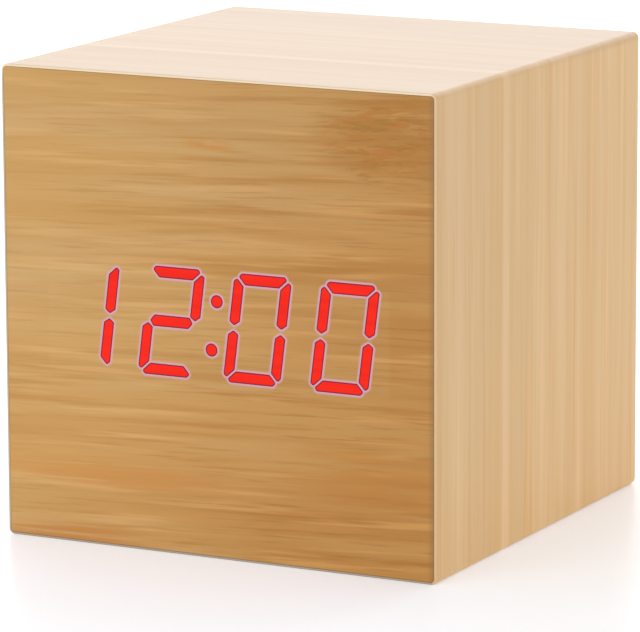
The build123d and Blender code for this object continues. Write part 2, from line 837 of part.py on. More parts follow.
# Control board on two posts, with the parts that it carries
with BuildPart() as control_board:
    slab(
        (-half_control_x, half_control_x),
        (control_front_y, control_back_y),
        (control_low_z, control_low_z + control_board_height),
    )
    for x, z in post_places:
        rod(x, z, (control_front_y - overrun, control_back_y + overrun), pilot_diameter, Mode.SUBTRACT)
save(control_board, "control_board")

with BuildPart() as control_board_screws:
    for x, z in post_places:
        screw(x, z, control_front_y, -1, circuit_thickness + screw_bite)
save(control_board_screws, "control_board_screws")

# Switches, their plungers and the button caps
switch_top_y = control_back_y + switch_height
well_floor_y = switch_top_y - plunger_sunk - plunger_well
half_switch = switch_side / 2
with BuildPart() as button_switches:
    switch_y = (control_back_y, switch_top_y)
    for x, z in button_places:
        slab((x - half_switch, x + half_switch), switch_y, (z - half_switch, z + half_switch))
    for x, z in button_places:
        well = plunger_diameter + 2 * plunger_clearance
        rod(x, z, (well_floor_y, switch_top_y + overrun), well, Mode.SUBTRACT)
save(button_switches, "button_switches")

plunger_top_y = switch_top_y + plunger_proud
flange_back_y = cover_inner_y - button_flange_gap
cap_flange_y = (flange_back_y - button_flange_thickness, flange_back_y)
for button_name, (x, z) in zip(button_names, button_places):
    with BuildPart() as plunger:
        rod(x, z, (switch_top_y - plunger_sunk, plunger_top_y), plunger_diameter)
    save(plunger, f"plunger_{button_name}")
    with BuildPart() as cap:
        rod(x, z, (plunger_top_y, cap_flange_y[0]), plunger_diameter)
        rod(x, z, cap_flange_y, button_diameter + 2 * button_flange)
        rod(x, z, (cap_flange_y[1], cover_outer_y + button_proud), button_diameter)
        fillet(cap.edges().group_by(Axis.Y)[-1], radius=button_edge_round)
    save(cap, f"button_{button_name}")

# Supply socket: its body, and the pin in its bore
socket_nose_y = cover_outer_y - socket_nose_sunk
socket_body_y = (control_back_y, cover_inner_y - socket_face_gap)
socket_bore_y = (socket_nose_y - socket_bore_depth, socket_nose_y)
with BuildPart() as dc_socket:
    slab(
        (socket_x - socket_width / 2, socket_x + socket_width / 2),
        socket_body_y,
        (control_middle_z - socket_height / 2, control_middle_z + socket_height / 2),
    )
    rod(socket_x, control_middle_z, (socket_body_y[1], socket_nose_y), socket_nose_diameter)
    rod(socket_x, control_middle_z, socket_bore_y, socket_bore_diameter, Mode.SUBTRACT)
save(dc_socket, "dc_socket")

with BuildPart() as dc_socket_pin:
    rod(
        socket_x,
        control_middle_z,
        (socket_bore_y[0], socket_bore_y[0] + socket_pin_length),
        socket_pin_diameter,
    )
    fillet(dc_socket_pin.edges().group_by(Axis.Y)[-1], radius=socket_pin_round)
save(dc_socket_pin, "dc_socket_pin")

# Microphone in its collar, on two legs from the board
microphone_face_y = cover_inner_y - microphone_face_gap
with BuildPart() as microphone:
    rod(
        microphone_x,
        control_middle_z,
        (microphone_face_y - microphone_length, microphone_face_y),
        microphone_diameter,
    )
    for side in (-1, 1):
        rod(
            microphone_x + side * microphone_leg_pitch / 2,
            control_middle_z,
            (control_back_y, microphone_face_y - microphone_length),
            microphone_leg_diameter,
        )
save(microphone, "microphone")

# Chip, crystal, capacitor, buzzer and thermistor on the board's inner face
ribbon_back_z = control_low_z + ribbon_back_rise
half_controller = controller_length / 2
controller_foot_z = ribbon_back_z + header_height / 2 + controller_rise
controller_z = controller_foot_z + controller_lead_reach + controller_width / 2
with BuildPart() as microcontroller:
    slab(
        (controller_x - half_controller, controller_x + half_controller),
        (control_front_y - controller_height, control_front_y),
        (controller_z - controller_width / 2, controller_z + controller_width / 2),
    )
    lead_pitch = controller_length / controller_lead_count
    for place in range(controller_lead_count):
        x = controller_x - half_controller + (place + 1 / 2) * lead_pitch
        half_row = controller_width / 2 + controller_lead_reach
        slab(
            (x - controller_lead_width / 2, x + controller_lead_width / 2),
            (control_front_y - controller_lead_height, control_front_y),
            (controller_z - half_row, controller_z + half_row),
        )
save(microcontroller, "microcontroller")

with BuildPart() as crystal:
    lying = Plane.XY.offset(control_middle_z - crystal_length / 2)
    with BuildSketch(lying):
        with Locations((crystal_x, control_front_y - crystal_diameter / 2)):
            Circle(crystal_diameter / 2)
    extrude(amount=crystal_length)
save(crystal, "crystal")

capacitor_y = (control_front_y - capacitor_height, control_front_y)
with BuildPart() as capacitor:
    rod(capacitor_x, control_middle_z, capacitor_y, capacitor_diameter)
    chamfer(capacitor.edges().group_by(Axis.Y)[0], length=capacitor_edge)
save(capacitor, "capacitor")

buzzer_y = (control_front_y - buzzer_height, control_front_y)
with BuildPart() as buzzer:
    rod(buzzer_x, control_middle_z, buzzer_y, buzzer_diameter)
    port_y = (buzzer_y[0] - overrun, buzzer_y[0] + buzzer_port_depth)
    rod(buzzer_x, control_middle_z, port_y, buzzer_port_diameter, Mode.SUBTRACT)
save(buzzer, "buzzer")

bead_y = control_front_y - thermistor_standoff
with BuildPart() as thermistor:
    with Locations((thermistor_x, bead_y, control_middle_z)):
        Sphere(thermistor_diameter / 2)
    for side in (-1, 1):
        leg_x = thermistor_x + side * thermistor_leg_pitch / 2
        rod(leg_x, control_middle_z, (bead_y, control_front_y), thermistor_leg_diameter)
save(thermistor, "thermistor")

# Ribbon between the two boards, held by a header at each end
ribbon_front_z = display_centre_z + display_board_z - ribbon_front_drop
header_back_y = display_board_back_y + header_depth
header_front_y = control_front_y - header_depth
half_header = header_width / 2
ribbon_x = controller_x
with BuildPart() as ribbon_headers:
    header_x = (ribbon_x - half_header, ribbon_x + half_header)
    for y_range, z in (
        ((display_board_back_y, header_back_y), ribbon_front_z),
        ((header_front_y, control_front_y), ribbon_back_z),
    ):
        slab(header_x, y_range, (z - header_height / 2, z + header_height / 2))
save(ribbon_headers, "ribbon_headers")

ribbon_rise = ribbon_back_z - ribbon_front_z
ribbon_run = ribbon_run_share * (header_front_y - header_back_y)
ribbon_slope = header_front_y - header_back_y - 2 * ribbon_run
ribbon_tilt = sqrt(ribbon_rise**2 + ribbon_slope**2)
half_turn_tangent = (ribbon_tilt - ribbon_slope) / ribbon_rise
ribbon_bend = bend_share * min(ribbon_run, ribbon_tilt) / half_turn_tangent
with BuildPart() as ribbon_cable:
    with BuildLine(Plane.YZ.offset(ribbon_x)) as ribbon_path:
        FilletPolyline(
            (header_back_y, ribbon_front_z),
            (header_back_y + ribbon_run, ribbon_front_z),
            (header_front_y - ribbon_run, ribbon_back_z),
            (header_front_y, ribbon_back_z),
            radius=ribbon_bend,
        )
    with BuildSketch(upright(header_back_y)) as ribbon_section:
        with Locations((ribbon_x, ribbon_front_z)):
            Rectangle(ribbon_width, ribbon_thickness)
    sweep(ribbon_section.sketch, path=ribbon_path.line)
save(ribbon_cable, "ribbon_cable")
print(f"ribbon bends: {ribbon_bend:.1f} mm")


# Leads from the two outer contacts to the control board
def lead(name, points):
    """Round wire along straight runs joined by arcs as large as the runs allow."""
    runs = [Vector(*end) - Vector(*start) for start, end in zip(points, points[1:])]
    bends = []
    for before, after in zip(runs, runs[1:]):
        half_turn = before.get_angle(after) / 2 * pi / 180
        bends.append(bend_share * min(before.length, after.length) / tan(half_turn))
    with BuildPart() as wire:
        with BuildLine() as wire_path:
            FilletPolyline(*points, radius=bends)
        with BuildSketch(Plane(origin=points[0], z_dir=runs[0])) as wire_section:
            Circle(wire_diameter / 2)
        sweep(wire_section.sketch, path=wire_path.line)
    save(wire, name)
    along = wire_path.wire().length
    full = pi * wire_diameter**2 / 4 * along
    print(f"{name}: {along:.1f} mm long, bends {[round(bend, 1) for bend in bends]}")
    print(f"{name}: volume over section times length {wire.part.volume / full:.4f}")


wire_x = tray_x - contact_thickness / 2
wire_start_y = tray_floor_y - tray_wall - contact_tail_length
wire_turn_y = wire_start_y - wire_stub_length
wire_board_x = half_control_x - wire_board_inset
wire_board_z = control_low_z + wire_board_inset
red_start_z = cell_first_z + (cell_count - 1) * cell_pitch
black_start_z = cell_first_z
lead(
    "lead_red",
    [
        (-wire_x, wire_start_y, red_start_z),
        (-wire_x, wire_turn_y, red_start_z),
        (-wire_board_x, wire_turn_y, wire_board_z),
        (-wire_board_x, control_front_y, wire_board_z),
    ],
)
bow_points = [
    (wire_x, wire_turn_y - wire_bow, black_start_z + share * (wire_board_z - black_start_z))
    for share in wire_bow_height_shares
]
lead(
    "lead_black",
    [
        (wire_x, wire_start_y, black_start_z),
        (wire_x, wire_turn_y, black_start_z),
        *bow_points,
        (wire_board_x, wire_turn_y, wire_board_z),
        (wire_board_x, control_front_y, wire_board_z),
    ],
)
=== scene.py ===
# %% [markdown]
# # A cube clock in wood film
#
# The object is a small desk clock: a 62 mm cube of fibreboard wrapped in printed
# wood-grain film, with red digits shining through its front. The solids come ready
# from the CAD model, so this notebook gives them their finishes, cuts the few pieces
# that want finer work than the CAD solids have, and lights the clock as in a studio.
#
# Blender works in metres. The clock stands on z = 0, its face looks along -y, and a
# millimetre is written as `MM`.

import json
import math

import bmesh
import bpy
import numpy as np
from mathutils import Matrix, Vector
from mathutils.geometry import delaunay_2d_cdt

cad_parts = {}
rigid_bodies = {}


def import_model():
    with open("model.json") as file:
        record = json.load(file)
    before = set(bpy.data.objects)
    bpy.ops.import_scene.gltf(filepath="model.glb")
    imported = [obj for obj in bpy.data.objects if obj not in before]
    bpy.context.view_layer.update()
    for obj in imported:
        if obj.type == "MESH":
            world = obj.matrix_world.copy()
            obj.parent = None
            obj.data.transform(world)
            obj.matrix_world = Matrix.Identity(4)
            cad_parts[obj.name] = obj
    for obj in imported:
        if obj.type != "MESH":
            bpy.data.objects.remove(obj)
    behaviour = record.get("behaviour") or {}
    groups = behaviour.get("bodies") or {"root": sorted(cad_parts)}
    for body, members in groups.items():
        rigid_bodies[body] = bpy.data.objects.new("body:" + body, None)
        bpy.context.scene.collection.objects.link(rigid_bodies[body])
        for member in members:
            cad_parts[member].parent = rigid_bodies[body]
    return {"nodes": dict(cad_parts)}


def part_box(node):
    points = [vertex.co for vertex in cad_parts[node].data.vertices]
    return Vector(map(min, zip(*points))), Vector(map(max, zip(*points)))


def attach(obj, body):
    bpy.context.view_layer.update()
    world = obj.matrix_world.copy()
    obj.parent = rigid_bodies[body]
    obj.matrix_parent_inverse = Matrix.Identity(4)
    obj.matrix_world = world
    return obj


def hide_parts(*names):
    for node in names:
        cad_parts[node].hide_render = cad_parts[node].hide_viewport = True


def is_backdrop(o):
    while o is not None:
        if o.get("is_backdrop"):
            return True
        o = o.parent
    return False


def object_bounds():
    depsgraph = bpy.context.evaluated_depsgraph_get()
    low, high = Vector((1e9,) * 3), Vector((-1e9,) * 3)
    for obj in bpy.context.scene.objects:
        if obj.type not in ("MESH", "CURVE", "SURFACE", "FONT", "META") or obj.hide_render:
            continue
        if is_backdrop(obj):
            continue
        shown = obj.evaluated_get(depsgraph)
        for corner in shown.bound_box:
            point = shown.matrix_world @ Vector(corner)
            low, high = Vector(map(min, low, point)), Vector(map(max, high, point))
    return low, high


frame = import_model()
clock_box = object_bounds()
nodes = frame["nodes"]
MM = 0.001
HALF_SIDE = 31.0  # of the cube, in millimetres
scene_objects = bpy.context.scene.collection.objects
print(len(nodes), "solids, lowest corner", [round(v / MM, 2) for v in clock_box[0]])

# %% [markdown]
# ## The viewpoint
#
# A product photographer uses a long lens from a little way off, so that a cube keeps
# its edges nearly parallel. The camera stands to the right of the clock and looks
# down on it a little. Its direction is built from three angles, turned into the three
# axes of the camera, and written as one matrix: that is exact and needs no aiming.

# %% Camera
camera_place = Vector((283.2, -551.4, 149.2)) * MM
camera_yaw, camera_pitch, camera_roll = (math.radians(angle) for angle in (-27.28, -11.23, -0.26))

ahead = Vector(
    (
        math.sin(camera_yaw) * math.cos(camera_pitch),
        math.cos(camera_yaw) * math.cos(camera_pitch),
        math.sin(camera_pitch),
    )
)
level_right = Vector((math.cos(camera_yaw), -math.sin(camera_yaw), 0))
level_up = level_right.cross(ahead)
right = level_right * math.cos(camera_roll) + level_up * math.sin(camera_roll)
up = level_up * math.cos(camera_roll) - level_right * math.sin(camera_roll)

camera_data = bpy.data.cameras.new("camera")
camera_data.lens = 268.5
camera_data.sensor_width = 36
camera_data.clip_start = 0.01
camera = bpy.data.objects.new("camera", camera_data)
turn = Matrix((right, up, -ahead)).transposed().to_4x4()
camera.matrix_world = Matrix.Translation(camera_place) @ turn
scene_objects.link(camera)
bpy.context.scene.camera = camera
clock_middle = Vector((0, 0, HALF_SIDE)) * MM
print("camera", round((camera_place - clock_middle).length, 3), "m from the middle of the clock")

# %% [markdown]
# ## Floor and studio light
#
# The clock stands on a seamless white sweep. A near-white floor, a bright even world
# and three large soft panels give it: one high behind the clock, whose reflection pales
# the top, a low strip on the right that lights the side but hardly the floor, and one
# in front that keeps the face warm. Large panels are used because small ones throw hard
# shadows, which the white sweep of a product photograph doesn't show.

# %% Light
bpy.context.scene.view_settings.view_transform = "Standard"

world = bpy.data.worlds.new("studio_air")
world.use_nodes = True
world.node_tree.nodes["Background"].inputs["Color"].default_value = (1, 0.99, 0.985, 1)
world.node_tree.nodes["Background"].inputs["Strength"].default_value = 0.68
bpy.context.scene.world = world


def soft_panel(name, place, target, width, height, watts, colour):
    """Rectangular light aimed from its place at a target."""
    data = bpy.data.lights.new(name, "AREA")
    data.shape = "RECTANGLE"
    data.size, data.size_y = width, height
    data.energy = watts
    data.color = colour
    panel = bpy.data.objects.new(name, data)
    aim = (Vector(target) - Vector(place)).to_track_quat("-Z", "Y")
    panel.matrix_world = Matrix.Translation(place) @ aim.to_matrix().to_4x4()
    scene_objects.link(panel)
    print(name, watts, "W")
    return panel


soft_panel("back_panel", (-0.8, 1.5, 0.66), (-0.8, 0, 0.66), 2.8, 1.2, 18, (1, 0.965, 0.965))
soft_panel("side_panel", (1.6, 0.2, 0.15), (0, 0, 0.03), 1.0, 0.26, 7.5, (1, 1, 1))
soft_panel("front_panel", (-0.7, -1.4, 0.5), (0, 0, 0.03), 0.9, 0.9, 3.9, (1, 0.98, 0.96))

# %% [markdown]
# ## A way to write a finish
#
# Every finish below is a small tree of shader nodes. Writing each node and link by
# hand would bury the idea, so one helper holds a tree while it is being made, and each
# of its calls adds a node and returns the socket to use next. A finish is such a tree
# with names for what its patterns need. All patterns start from Object coordinates,
# which stay on the clock when the view changes.


# %% Helpers for trees of nodes and for finishes
class Tree:
    """One tree of nodes under way."""

    def add(self, kind, wires=None, output=0, **settings):
        """Add a node, set its choices, set or wire its inputs, and return one of its outputs."""
        node = self.tree.nodes.new(kind)
        for name, value in settings.items():
            setattr(node, name, value)
        for key, value in (wires or {}).items():
            for source in value if isinstance(value, list) else [value]:
                if isinstance(source, bpy.types.NodeSocket):
                    self.tree.links.new(source, node.inputs[key])
                else:
                    node.inputs[key].default_value = source
        return node.outputs[output]

    def maths(self, operation, first, second=0.0):
        return self.add("ShaderNodeMath", {0: first, 1: second}, operation=operation)

    def times(self, first, second):
        return self.maths("MULTIPLY", first, second)


class Finish(Tree):
    """One material under way."""

    def __init__(self, name, surface):
        self.material = bpy.data.materials.new(name)
        self.material.use_nodes = True
        self.tree = self.material.node_tree
        self.shader = self.tree.nodes["Principled BSDF"]
        self.place = self.add("ShaderNodeTexCoord", output="Object")
        for socket, value in surface.items():
            self.shader.inputs[socket].default_value = value

    def stretch(self, per_mm, shift=(0, 0, 0), turn=(0, 0, 0)):
        """Object coordinates, scaled to so many pattern units per millimetre on each axis."""
        scale = tuple(rate / MM for rate in per_mm)
        wires = {"Vector": self.place, "Location": shift, "Rotation": turn, "Scale": scale}
        return self.add("ShaderNodeMapping", wires)

    def noise(self, vector, detail=2.0, roughness=0.5, distortion=0.0):
        wires = {"Vector": vector, "Scale": 1, "Detail": detail}
        wires |= {"Roughness": roughness, "Distortion": distortion}
        return self.add("ShaderNodeTexNoise", wires)

    def cells(self, vector):
        return self.add("ShaderNodeTexVoronoi", {"Vector": vector, "Scale": 1}, "Distance")

    def axes_mm(self):
        """Object coordinates one by one, in millimetres."""
        return self.add("ShaderNodeSeparateXYZ", {0: self.stretch((1, 1, 1))}).node.outputs

    def facing_y(self):
        """How far the surface faces along y: -1 towards the reader, 1 away."""
        return self.add("ShaderNodeSeparateXYZ", {0: self.add("ShaderNodeNewGeometry", output="Normal")}, 1)

    def stored(self, name):
        """Value that the mesh carries on its points."""
        return self.add("ShaderNodeAttribute", output="Fac", attribute_name=name)

    def span(self, value, low, high, to_low=0.0, to_high=1.0):
        """Stretch the part of a value between low and high over a new range."""
        wires = {"Value": value, 1: low, 2: high, 3: to_low, 4: to_high}
        return self.add("ShaderNodeMapRange", wires, interpolation_type="SMOOTHSTEP")

    def ramp(self, value, stops):
        """Colours along a value, as (position, (red, green, blue))."""
        shown = self.add("ShaderNodeValToRGB", {"Fac": value})
        elements = shown.node.color_ramp.elements
        while len(elements) < len(stops):
            elements.new(0.5)
        for element, (position, colour) in zip(elements, stops):
            element.position = position
            element.color = (*colour, 1)
        return shown

    def blend(self, factor, first, second, mode="MIX"):
        """Mix two colours; plain colours are given as three numbers."""
        pair = [(*c, 1) if isinstance(c, tuple) else c for c in (first, second)]
        wires = {0: factor, 6: pair[0], 7: pair[1]}
        return self.add("ShaderNodeMix", wires, 2, data_type="RGBA", blend_type=mode)

    def mottle(self, pattern, first, second, low=0.35, high=0.65):
        """Two colours in soft patches, where a pattern is low and where it is high."""
        return self.blend(self.span(pattern, low, high), first, second)

    def tint(self, colour, factor):
        """Multiply a colour by another, or by a plain value."""
        return self.blend(1.0, colour, factor, "MULTIPLY")

    def bump(self, height, strength, depth_mm):
        wires = {"Height": height, "Strength": strength, "Distance": depth_mm * MM}
        self.wire(self.add("ShaderNodeBump", wires), "Normal")

    def wire(self, socket, name):
        self.tree.links.new(socket, self.shader.inputs[name])

    def dress(self, *names):
        """Put the finish on CAD solids."""
        for name in names:
            slots = nodes[name].data.materials
            slots.clear()
            slots.append(self.material)
        print(self.material.name, "on", ", ".join(names))


# %% [markdown]
# ## Wood-grain film
#
# The film is a photograph of bamboo-like wood, printed and varnished. Its grain is a
# set of streaks at several widths: broad bands of tone, belts of two or three
# millimetres, orange-brown streaks a millimetre wide, and thin dark and pale lines.
# Noise stretched far along one axis gives each of them, and their sum looks printed
# from wood. A texture picture would be the other way, but noise has no edge to hide and
# stays sharp in a close view.
#
# The rates are pattern units per millimetre: low along the grain, high across it.

# %% Grain of the film
# rates across and along the grain, detail, shift, distortion, limits, strength, ink
streak_layers = (
    ((0.36, 0.014), 2, 31.3, 0.1, (0.44, 0.64), 0.45, (0.50, 0.25, 0.05)),  # belts
    ((0.75, 0.03), 3, 7.7, 0.08, (0.5, 0.72), 0.7, (0.48, 0.225, 0.035)),  # orange streaks
    ((0.95, 0.04), 2, 12.3, 0.0, (0.53, 0.72), 0.6, (0.69, 0.41, 0.165)),  # pale lines
    ((2.2, 0.08), 3, 21.9, 0.0, (0.53, 0.72), 0.42, (0.41, 0.19, 0.01)),  # dark lines
)


def film_grain(finish, along, across, light_tone, deep_tone, lively):
    """Colour of the printed grain, from its way along and across, and its thin dark lines."""

    def streaks(width_rate, length_rate, detail, shift, distortion=0.0):
        rates = [length_rate * a + width_rate * b for a, b in zip(along, across)]
        return finish.noise(finish.stretch(rates, (shift, shift, shift)), detail, 0.55, distortion)

    bands = finish.span(streaks(0.13, 0.012, 3, 3.1), 0.36, 0.66)
    colour = finish.blend(bands, light_tone, deep_tone)
    for rates, detail, shift, distortion, limits, strength, ink in streak_layers:
        mask = finish.span(streaks(*rates, detail, shift, distortion), *limits)
        colour = finish.blend(finish.times(finish.times(mask, strength), lively), colour, ink)
    return colour, mask


# %% [markdown]
# On the face the streaks run across, out of true by a little, as the sheet was cut a
# trace askew. They grow stronger towards the right and the bottom.

# %% Print on the face
front = Finish("front_film", {"Roughness": 0.42, "IOR": 1.5})
axes = front.axes_mm()
left_to_right = front.span(axes[0], -HALF_SIDE, HALF_SIDE)
top_to_bottom = front.span(axes[2], 0.0, 2 * HALF_SIDE, 1.0, 0.0)
lean = {"Vector": front.place, "Rotation": (0, math.radians(2.4), 0)}
front.place = front.add("ShaderNodeMapping", lean)
strength = front.maths("ADD", front.times(left_to_right, 0.5), 0.7)
strength = front.maths("ADD", front.times(top_to_bottom, 0.3), strength)
front_tones = ((0.59, 0.363, 0.142), (0.572, 0.305, 0.083))
front_colour, front_dark = film_grain(front, (1, 0, 0), (0, 0, 1), *front_tones, strength)
print(len(streak_layers), "layers of streaks over the bands of the face")

# %% [markdown]
# The face has a few livelier places. Near its upper right corner the streaks run into
# an orange-brown knot with a shade round it, a small fleck lies left of it, deeper belts
# cross low on the right and on the left, and a stain follows the foot on the left. Each
# is a soft oval mask on the film, broken up by noise.


# %% Knot, fleck, belts and stain
def oval(place, reach):
    """Mask that is 1 in the middle of an oval on the face and fades to its edge."""
    terms = []
    for axis, middle, half in zip((0, 2), place, reach):
        offset = front.maths("DIVIDE", front.maths("SUBTRACT", axes[axis], middle), half)
        terms.append(front.times(offset, offset))
    return front.span(front.maths("ADD", *terms), 0.0, 1.0, 1.0, 0.0)


# name, middle, reach, rates along and across, shift of the noise, limits, ink
markings = (
    ("shade round the knot", (27.0, 56.5), (15.0, 8.0), (0.05, 0.35), 20, (0.25, 0.75), (0.46, 0.215, 0.012)),
    ("knot", (24.5, 56.0), (11.5, 6.5), (0.26, 1.1), 4, (0.47, 0.6), (0.52, 0.22, 0.018)),
    ("lines of the knot", (24.0, 55.5), (12.0, 7.5), (0.19, 1.7), 17, (0.5, 0.64), (0.42, 0.20, 0.012)),
    ("fleck", (-0.5, 53.5), (5.0, 0.9), (0.2, 1.3), 5, (0.3, 0.62), (0.585, 0.27, 0.05)),
    ("belt on the right", (23.0, 13.0), (17.0, 5.0), (0.03, 0.5), 4, (0.3, 0.7), (0.57, 0.275, 0.05)),
    ("belt on the left", (-16.0, 9.6), (24.0, 2.4), (0.03, 1.7), 16, (0.28, 0.6), (0.585, 0.27, 0.06)),
    ("stain at the foot", (-22.0, 0.6), (17.0, 2.8), (0.05, 1.7), 17, (0.28, 0.6), (0.53, 0.225, 0.045)),
)
for name, place, reach, (rate_along, rate_across), shift, limits, ink in markings:
    breaks = front.noise(front.stretch((rate_along, 1, rate_across), (5, shift, 5)), 4, 0.6, 0.7)
    mask = front.times(oval(place, reach), front.span(breaks, *limits))
    front_colour = front.blend(mask, front_colour, ink)
    print(name, "at", place, "mm")

# %% [markdown]
# Two slow changes cover the whole face: it deepens from left to right, where a painted
# sheen pales its left side, and it warms towards the foot. Over the light module the
# print is a trace paler.

# %% Slow changes of tone
# painted sheen: the face is paler and whiter on the left, fading out to the right
painted_sheen_fade = front.blend(left_to_right, (1.05, 1.085, 1.115), (0.87, 0.755, 0.49))
warming = front.blend(top_to_bottom, (1.0, 0.98, 0.92), (1.045, 0.985, 0.84))
front_colour = front.tint(front.tint(front_colour, painted_sheen_fade), warming)
module_height, module_halves = 30.1, (24.6, 6.9)
from_module = (axes[0], front.maths("SUBTRACT", axes[2], module_height))
module_terms = []
for offset, half in zip(from_module, module_halves):
    offset = front.maths("ABSOLUTE", offset)
    module_terms.append(front.span(offset, half - 0.5, half + 0.3, 1.0, 0.0))
over_module = front.times(front.times(*module_terms), 0.07)
front_colour = front.blend(over_module, front_colour, (0.72, 0.50, 0.20))
print("print over the light module is a trace paler")

# %% [markdown]
# ## Light through the film
#
# The digits are windows of the film itself. Just inside the edge of each segment the
# photograph shows a thin dark rim, where the wall of the light well cuts the red off,
# and just outside it a pale lilac line, where the glow lights the film's own ink. To
# draw both exactly, the face is cut again here into a fine mesh whose points know how
# far they are from the nearest edge of a segment. The outlines are read from the
# digits' solids, so the drawing always fits them.


# %% Outlines of the lit shapes
def front_loops(name):
    """Outlines, in millimetres on the face, of the front of a solid that lies in it."""
    mesh = bmesh.new()
    mesh.from_mesh(nodes[name].data)
    bmesh.ops.remove_doubles(mesh, verts=mesh.verts, dist=0.001 * MM)
    lowest = min(vert.co.y for vert in mesh.verts)
    flat = [face for face in mesh.faces if all(abs(vert.co.y - lowest) < 0.01 * MM for vert in face.verts)]
    counts = {}
    for face in flat:
        for loop in face.loops:
            key = frozenset((loop.vert.index, loop.link_loop_next.vert.index))
            counts.setdefault(key, []).append((loop.vert.index, loop.link_loop_next.vert.index))
    following = dict(pairs[0] for pairs in counts.values() if len(pairs) == 1)
    mesh.verts.ensure_lookup_table()
    loops = []
    while following:
        start, here = next(iter(following.items()))
        del following[start]
        loop = [start]
        while here != start:
            loop.append(here)
            here = following.pop(here)
        loops.append(np.array([(mesh.verts[i].co.x / MM, mesh.verts[i].co.z / MM) for i in loop]))
    mesh.free()
    return loops


lit_names = ("digit_1", "digit_2", "colon", "digit_3", "digit_4")
lit_loops = [(name, loop) for name in lit_names for loop in front_loops(name)]
print(len(lit_loops), "lit shapes, with", sum(len(loop) for _, loop in lit_loops), "outline points")


# %% Distance from the lit shapes
def edge_distance(points):
    """Distance in millimetres to the nearest outline, negative inside, and that outline's number."""
    points = np.asarray(points, float)
    nearest = np.full(len(points), 1e9)
    number = np.zeros(len(points), int)
    inside = np.zeros(len(points), bool)
    for k, (_, loop) in enumerate(lit_loops):
        for start, end in zip(loop, np.roll(loop, -1, axis=0)):
            run = end - start
            share = np.clip(((points - start) @ run) / (run @ run), 0, 1)
            gap = np.hypot(*(points - (start + share[:, None] * run)).T)
            number[gap < nearest] = k
            nearest = np.minimum(nearest, gap)
            crosses = (start[1] > points[:, 1]) != (end[1] > points[:, 1])
            if run[1]:
                meets = start[0] + (points[:, 1] - start[1]) * run[0] / run[1]
                inside ^= crosses & (points[:, 0] < meets)
    return np.where(inside, -nearest, nearest), number


def resampled(loop, step):
    """Points every step along a closed outline, its corners kept, with their outward directions."""
    points, ways = [], []
    area = sum(a[0] * b[1] - b[0] * a[1] for a, b in zip(loop, np.roll(loop, -1, axis=0)))
    for start, end in zip(loop, np.roll(loop, -1, axis=0)):
        run = end - start
        length = np.hypot(*run)
        way = np.array((run[1], -run[0])) / length * (1 if area > 0 else -1)
        pieces = max(1, math.ceil(length / step))
        for k in range(pieces):
            points.append(start + run * k / pieces)
            ways.append(way)
    return np.array(points), np.array(ways)


# %% [markdown]
# The mesh itself is a constrained Delaunay triangulation: the outlines are edges that
# it must keep, and rings of free points on both sides of them give it somewhere to
# store the distance.

# %% Cut the face
film_low, film_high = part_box("front_film")
ring_distances = (-0.3, -0.17, -0.11, -0.06, 0.07, 0.14, 0.21, 0.3, 0.4, 0.55, 0.9, 1.6)
points, edges, tried, wanted = [], [], [], []


def keep_outline(outline):
    """Add the points of a closed outline, and its edges, that the mesh has to keep."""
    first = len(points)
    points.extend(tuple(point) for point in outline)
    edges.extend((first + k, first + (k + 1) % len(outline)) for k in range(len(outline)))


for _, loop in lit_loops:
    spaced, ways = resampled(loop, 0.35)
    keep_outline(spaced)
    for fan in (-0.5, 0, 0.5):
        turned = ways @ np.array(((math.cos(fan), -math.sin(fan)), (math.sin(fan), math.cos(fan))))
        for distance in ring_distances:
            tried.append(spaced + turned * distance)
            wanted.append(np.full(len(spaced), distance))
tried, wanted = np.concatenate(tried), np.concatenate(wanted)
points += [tuple(point) for point in tried[np.abs(edge_distance(tried)[0] - wanted) < 0.02]]
keep_outline(max(front_loops("front_film"), key=lambda loop: np.ptp(loop[:, 0])))
flat_points, _, triangles, *_ = delaunay_2d_cdt([Vector(point) for point in points], edges, [], 0, 0.001)
flat_points = np.array([tuple(point) for point in flat_points])
point_distances = edge_distance(flat_points)[0]
triangle_distances, triangle_shapes = edge_distance(flat_points[np.array(triangles)].mean(axis=1))
owners = ["front_film" if gap > 0 else lit_loops[k][0] for gap, k in zip(triangle_distances, triangle_shapes)]
print(len(flat_points), "points,", len(triangles), "triangles on the face")


# %% [markdown]
# The triangles outside every outline are the film, and those inside one belong to its
# digit. Each set is given the film's thickness and stands in for its flat CAD solid.


# %% Give the sheets their thickness
def stand_in(name, mesh, replaced):
    """Piece shown in the stead of a CAD node."""
    piece = bpy.data.objects.new(name, mesh)
    scene_objects.link(piece)
    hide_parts(replaced)
    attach(piece, "clock")
    print(name, "stands in for", replaced, "with", len(mesh.polygons), "faces")
    return piece


def film_piece(name, replaced):
    """A piece of the film as thick as the film, made of the triangles that its solid owns."""
    chosen = [corners for corners, owner in zip(triangles, owners) if owner == replaced]
    sheet = bmesh.new()
    distance = sheet.verts.layers.float.new("edge_distance")
    used = sorted({k for triangle in chosen for k in triangle})
    layers = []
    for y in (film_low.y, film_high.y):
        layers.append({k: sheet.verts.new((flat_points[k][0] * MM, y, flat_points[k][1] * MM)) for k in used})
        for k in used:
            layers[-1][k][distance] = point_distances[k]
    fronts, backs = layers
    sides = {}
    for a, b, c in chosen:
        sheet.faces.new((fronts[a], fronts[b], fronts[c]))
        sheet.faces.new((backs[c], backs[b], backs[a]))
        for start, end in ((a, b), (b, c), (c, a)):
            if sides.pop((end, start), None) is None:
                sides[start, end] = True
    for start, end in sides:
        sheet.faces.new((fronts[end], fronts[start], backs[start], backs[end]))
    bmesh.ops.recalc_face_normals(sheet, faces=sheet.faces)
    mesh = bpy.data.meshes.new(name)
    sheet.to_mesh(mesh)
    sheet.free()
    return stand_in(name, mesh, replaced)


face_film = film_piece("face_film", "front_film")
lit_pieces = [film_piece(f"lit_{name}", name) for name in lit_names]

# %% [markdown]
# With the distance stored on the mesh, the halo is one range of it: a lilac tone that
# fades out 0.4 mm from a segment. A soft shade darkens the face along its right edge.

